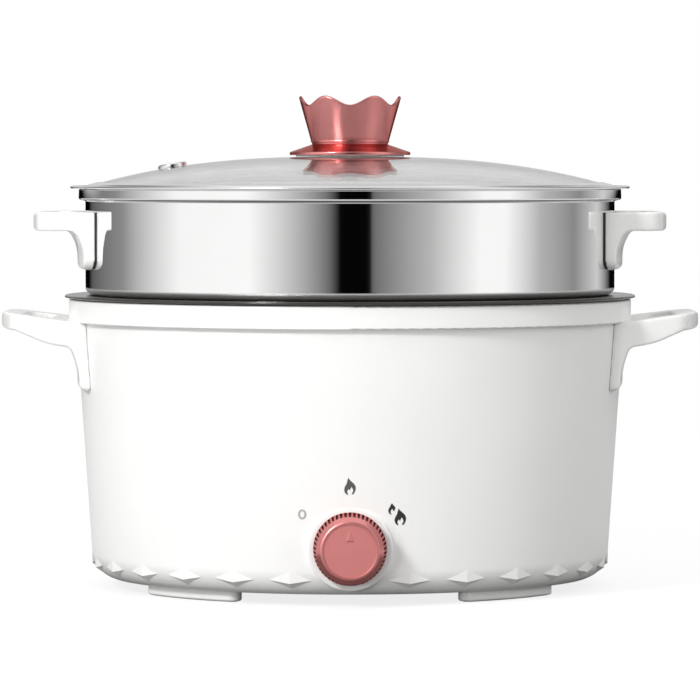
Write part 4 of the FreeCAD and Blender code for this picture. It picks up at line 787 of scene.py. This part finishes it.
# Name, outlines, how far across and above the dial's axis in millimetres, and the ink
MARKS = (
    ("mark_low", (FLAME,), 0.0, 29.9, "dark_print"),
    ("mark_high", (FLAME,), 23.9, 15.2, "black_print"),
    ("mark_high_back", (FLAME_BACK,), 23.9, 15.2, "black_print"),
    ("mark_off", (ZERO, ZERO_EYE), -22.7, 16.3, "grey_print"),
)


def print_mark(name, outlines, place, ink, thickness):
    """A flat filled curve, laid on the casing's tapered wall."""
    curve = bpy.data.curves.new(name, "CURVE")
    curve.dimensions = "2D"
    curve.fill_mode = "BOTH"
    curve.extrude = thickness
    curve.resolution_u = 8
    for outline in outlines:
        spline = curve.splines.new("BEZIER")
        spline.bezier_points.add(len(outline) - 1)
        spline.use_cyclic_u = True
        for point, (x, z, *sharp) in zip(spline.bezier_points, outline):
            point.co = (x * MM, z * MM, 0)
            kind = "VECTOR" if sharp else "AUTO"
            point.handle_left_type = point.handle_right_type = kind
    flat = bpy.data.objects.new(name + "_curve", curve)
    bpy.context.scene.collection.objects.link(flat)
    bpy.context.view_layer.update()
    graph = bpy.context.evaluated_depsgraph_get()
    mesh = bpy.data.meshes.new_from_object(flat.evaluated_get(graph))
    bpy.data.curves.remove(curve)
    mark = bpy.data.objects.new(name, mesh)
    bpy.context.scene.collection.objects.link(mark)
    shape = bmesh.new()
    shape.from_mesh(mesh)
    bmesh.ops.remove_doubles(shape, verts=shape.verts[:], dist=SAME_PLACE)
    bmesh.ops.triangulate(shape, faces=shape.faces[:])
    for corner in shape.verts:
        x, z, out = corner.co.x + place[0], corner.co.y + place[1], corner.co.z
        wall = wall_radius(z)
        corner.co = (x, -math.sqrt(wall * wall - x * x) - out, z)
    bmesh.ops.recalc_face_normals(shape, faces=shape.faces[:])
    shape.to_mesh(mesh)
    shape.free()
    finish_piece(mark, "pot", ink, sharp=50.0, even=False)


# Height and outer radius of the casing's tapered wall at its bottom and at the collar
WALL_BOTTOM, WALL_TOP = (17.0 * MM, 128.9 * MM), (132.2 * MM, 136.7 * MM)


def wall_radius(height):
    """Outside of the casing's tapered wall."""
    share_up = (height - WALL_BOTTOM[0]) / (WALL_TOP[0] - WALL_BOTTOM[0])
    return WALL_BOTTOM[1] + share_up * (WALL_TOP[1] - WALL_BOTTOM[1])


class HOTPOT_OT_stage(Operator):
    """Set up the floor, the lamps, the light from all round and the camera"""

    bl_idname = "hotpot.stage"
    bl_label = "Studio"

    def execute(self, context):
        studio = context.scene.hot_pot_studio
        build_floor()
        build_world(studio.sky)
        for name, place, aim, size, mirrored in LAMPS:
            power = getattr(studio, f"{name}_power")
            area_lamp(name, place, aim, size, power, mirrored)
        build_camera(studio.lens)
        context.scene.view_settings.view_transform = "Standard"
        return {"FINISHED"}


FLOOR_RADIUS = 1.6
FLOOR_GLOW = 0.82
MIRRORED_GLOW = 0.6  # share of the glow that metal shows
# Painted shade: within these distances of the pot, reflections see the floor without its glow.
NEAR_POT, CLEAR_OF_POT = 0.16, 0.26  # where that glow starts and where it is full
CAMERA_PLACE, CAMERA_AIM = (0, -2.5, 0.213), (0, 0, 0.1175)
# Name, place, the point aimed at, size, and whether reflections show the lamp
LAMPS = (
    ("key", (-1.25, -1.66, 1.2), (0, 0, 0.08), 0.4, True),
    ("fill", (2.0, -0.9, 1.2), (0, 0, 0.1), 1.2, False),
    ("low", (-1.0, -2.0, 0.16), (0, 0, 0.02), 0.3, False),
)


def build_floor():
    """Pale paper that the camera sees as white but for the object's shadow; metal sees it glow only
    away from the pot, and the dark floor near the pot in reflections is painted shade.
    """
    shape = bmesh.new()
    bmesh.ops.create_circle(shape, cap_ends=True, segments=96, radius=FLOOR_RADIUS)
    floor = new_object("floor", shape)
    f = Finish("floor_paper")
    path = f.node("LightPath").outputs
    seen = f.math("MAXIMUM", path["Is Camera Ray"], path["Is Transmission Ray"])
    away = f.node("VectorMath", {0: f.place}, operation="LENGTH").outputs["Value"]
    # Painted shade in reflections: the glow that metal sees fades out towards the pot.
    glow_past_painted_shade = f.spread(away, 0.0, MIRRORED_GLOW, NEAR_POT, CLEAR_OF_POT, "SMOOTHSTEP")
    mirrored = f.math("MULTIPLY", path["Is Glossy Ray"], glow_past_painted_shade)
    f.set(
        Base_Color=f.blend(f.noise(300.0, 3.0), (0.20, 0.20, 0.20), (0.22, 0.22, 0.22)),
        Roughness=0.9,
        Specular_IOR_Level=0.0,
        Emission_Color=(1.0, 1.0, 1.0, 1.0),
        Emission_Strength=f.math("MULTIPLY", f.math("MAXIMUM", seen, mirrored), FLOOR_GLOW),
    )
    floor.data.materials.append(f.material)


# Grey level of the studio by the direction of a reflection, from the front, + to the right
STUDIO_BANDS = (
    (-180.0, 5), (-157.0, 5), (-150.0, 90), (-116.0, 140), (-78.0, 250), (-44.0, 255),
    (-9.5, 115), (-4.5, 12), (-3.0, 4), (7.0, 4), (8.6, 30), (10.0, 110), (35.0, 185), (58.0, 252),
    (70.0, 252), (90.0, 180), (113.0, 138), (135.0, 205), (148.0, 120), (155.0, 5), (180.0, 5),
)


def linear(grey):
    """A screen grey from 0 to 255 as a level of light."""
    value = grey / 255
    return value / 12.92 if value <= 0.04045 else ((value + 0.055) / 1.055) ** 2.4


def build_world(sky):
    """White behind, an even level on matt surfaces, strips and dark flags in reflections."""
    world = bpy.data.worlds.new("studio")
    bpy.context.scene.world = world
    world.use_nodes = True
    w = Nodes(world.node_tree)
    w.nodes.clear()
    x, y, z = w.node("SeparateXYZ", {0: w.node("TexCoord").outputs["Generated"]}).outputs
    azimuth = w.math("ARCTAN2", x, w.math("MULTIPLY", y, -1.0))
    bands = w.node("ValToRGB", {0: w.spread(azimuth, 0.0, 1.0, -math.pi, math.pi)})
    ramp = bands.color_ramp
    while len(ramp.elements) < len(STUDIO_BANDS):
        ramp.elements.new(0.5)
    for element, (degrees, grey) in zip(ramp.elements, STUDIO_BANDS):
        element.position = (degrees + 180) / 360
        element.color = rgba([linear(grey)] * 3)
    upper, back = [1.0] * 3, [linear(213)] * 3
    raised = w.spread(z, 0.0, 1.0, 0.72, 0.94, "SMOOTHSTEP")
    behind = w.math(
        "MULTIPLY",
        w.spread(y, 0.0, 1.0, 0.6, 0.9, "SMOOTHSTEP"),
        w.spread(z, 0.0, 1.0, 0.005, 0.03, "SMOOTHSTEP"),
    )
    level = w.blend(behind, w.blend(raised, bands.outputs["Color"], upper), back)
    path = w.node("LightPath").outputs
    reflected = w.node("Background", {"Color": level}).outputs[0]
    even = w.node("Background", {"Color": (1, 1, 1, 1), "Strength": sky}).outputs[0]
    white = w.node("Background", {"Color": (1, 1, 1, 1)}).outputs[0]
    seen = w.math("MAXIMUM", path["Is Camera Ray"], path["Is Transmission Ray"])
    lit = w.node("MixShader", {0: path["Is Glossy Ray"], 1: even, 2: reflected}).outputs[0]
    shown = w.node("MixShader", {0: seen, 1: lit, 2: white}).outputs[0]
    w.node("OutputWorld", {"Surface": shown})


def area_lamp(name, place, aim, size, power, mirrored):
    data = bpy.data.lights.new(name, "AREA")
    data.shape = "SQUARE"
    data.size = size
    data.energy = power
    lamp = bpy.data.objects.new(name, data)
    lamp.location = place
    lamp.rotation_euler = (Vector(aim) - Vector(place)).to_track_quat("-Z", "Y").to_euler()
    lamp.visible_glossy = mirrored
    bpy.context.scene.collection.objects.link(lamp)


def build_camera(lens):
    data = bpy.data.cameras.new("camera")
    data.lens = lens
    data.sensor_width = 36.0
    camera = bpy.data.objects.new("camera", data)
    place, aim = Vector(CAMERA_PLACE), Vector(CAMERA_AIM)
    camera.location = place
    camera.rotation_euler = (aim - place).to_track_quat("-Z", "Y").to_euler()
    bpy.context.scene.collection.objects.link(camera)
    bpy.context.scene.camera = camera


# ---------------------------------------------------------------- panel
class HOTPOT_PT_sidebar(Panel):
    """Buttons and values for the hot pot"""

    bl_idname = "HOTPOT_PT_sidebar"
    bl_label = "Hot pot"
    bl_space_type = "VIEW_3D"
    bl_region_type = "UI"
    bl_category = "Hot pot"

    def draw(self, context):
        for made in OPERATORS:
            self.layout.operator(made.bl_idname)
        for group in GROUPS:
            values = getattr(context.scene, group)
            for name in values.bl_rna.properties.keys():
                if name not in {"rna_type", "name"}:
                    self.layout.prop(values, name)


GROUPS = {
    "hot_pot_finishes": HotPotFinishes,
    "hot_pot_steamer": HotPotSteamer,
    "hot_pot_lid": HotPotLid,
    "hot_pot_handles": HotPotHandles,
    "hot_pot_dial": HotPotDial,
    "hot_pot_studio": HotPotStudio,
}
OPERATORS = (
    HOTPOT_OT_finishes,
    HOTPOT_OT_steamer,
    HOTPOT_OT_glass,
    HOTPOT_OT_knob,
    HOTPOT_OT_handles,
    HOTPOT_OT_marks,
    HOTPOT_OT_stage,
)


def register():
    for made in (*GROUPS.values(), *OPERATORS, HOTPOT_PT_sidebar):
        bpy.utils.register_class(made)
    for name, group in GROUPS.items():
        setattr(bpy.types.Scene, name, PointerProperty(type=group))


def unregister():
    for name in GROUPS:
        delattr(bpy.types.Scene, name)
    for made in reversed((*GROUPS.values(), *OPERATORS, HOTPOT_PT_sidebar)):
        bpy.utils.unregister_class(made)


def main():
    register()
    for made in OPERATORS:
        group, name = made.bl_idname.split(".")
        getattr(getattr(bpy.ops, group), name)()


if __name__ == "__main__":
    main()
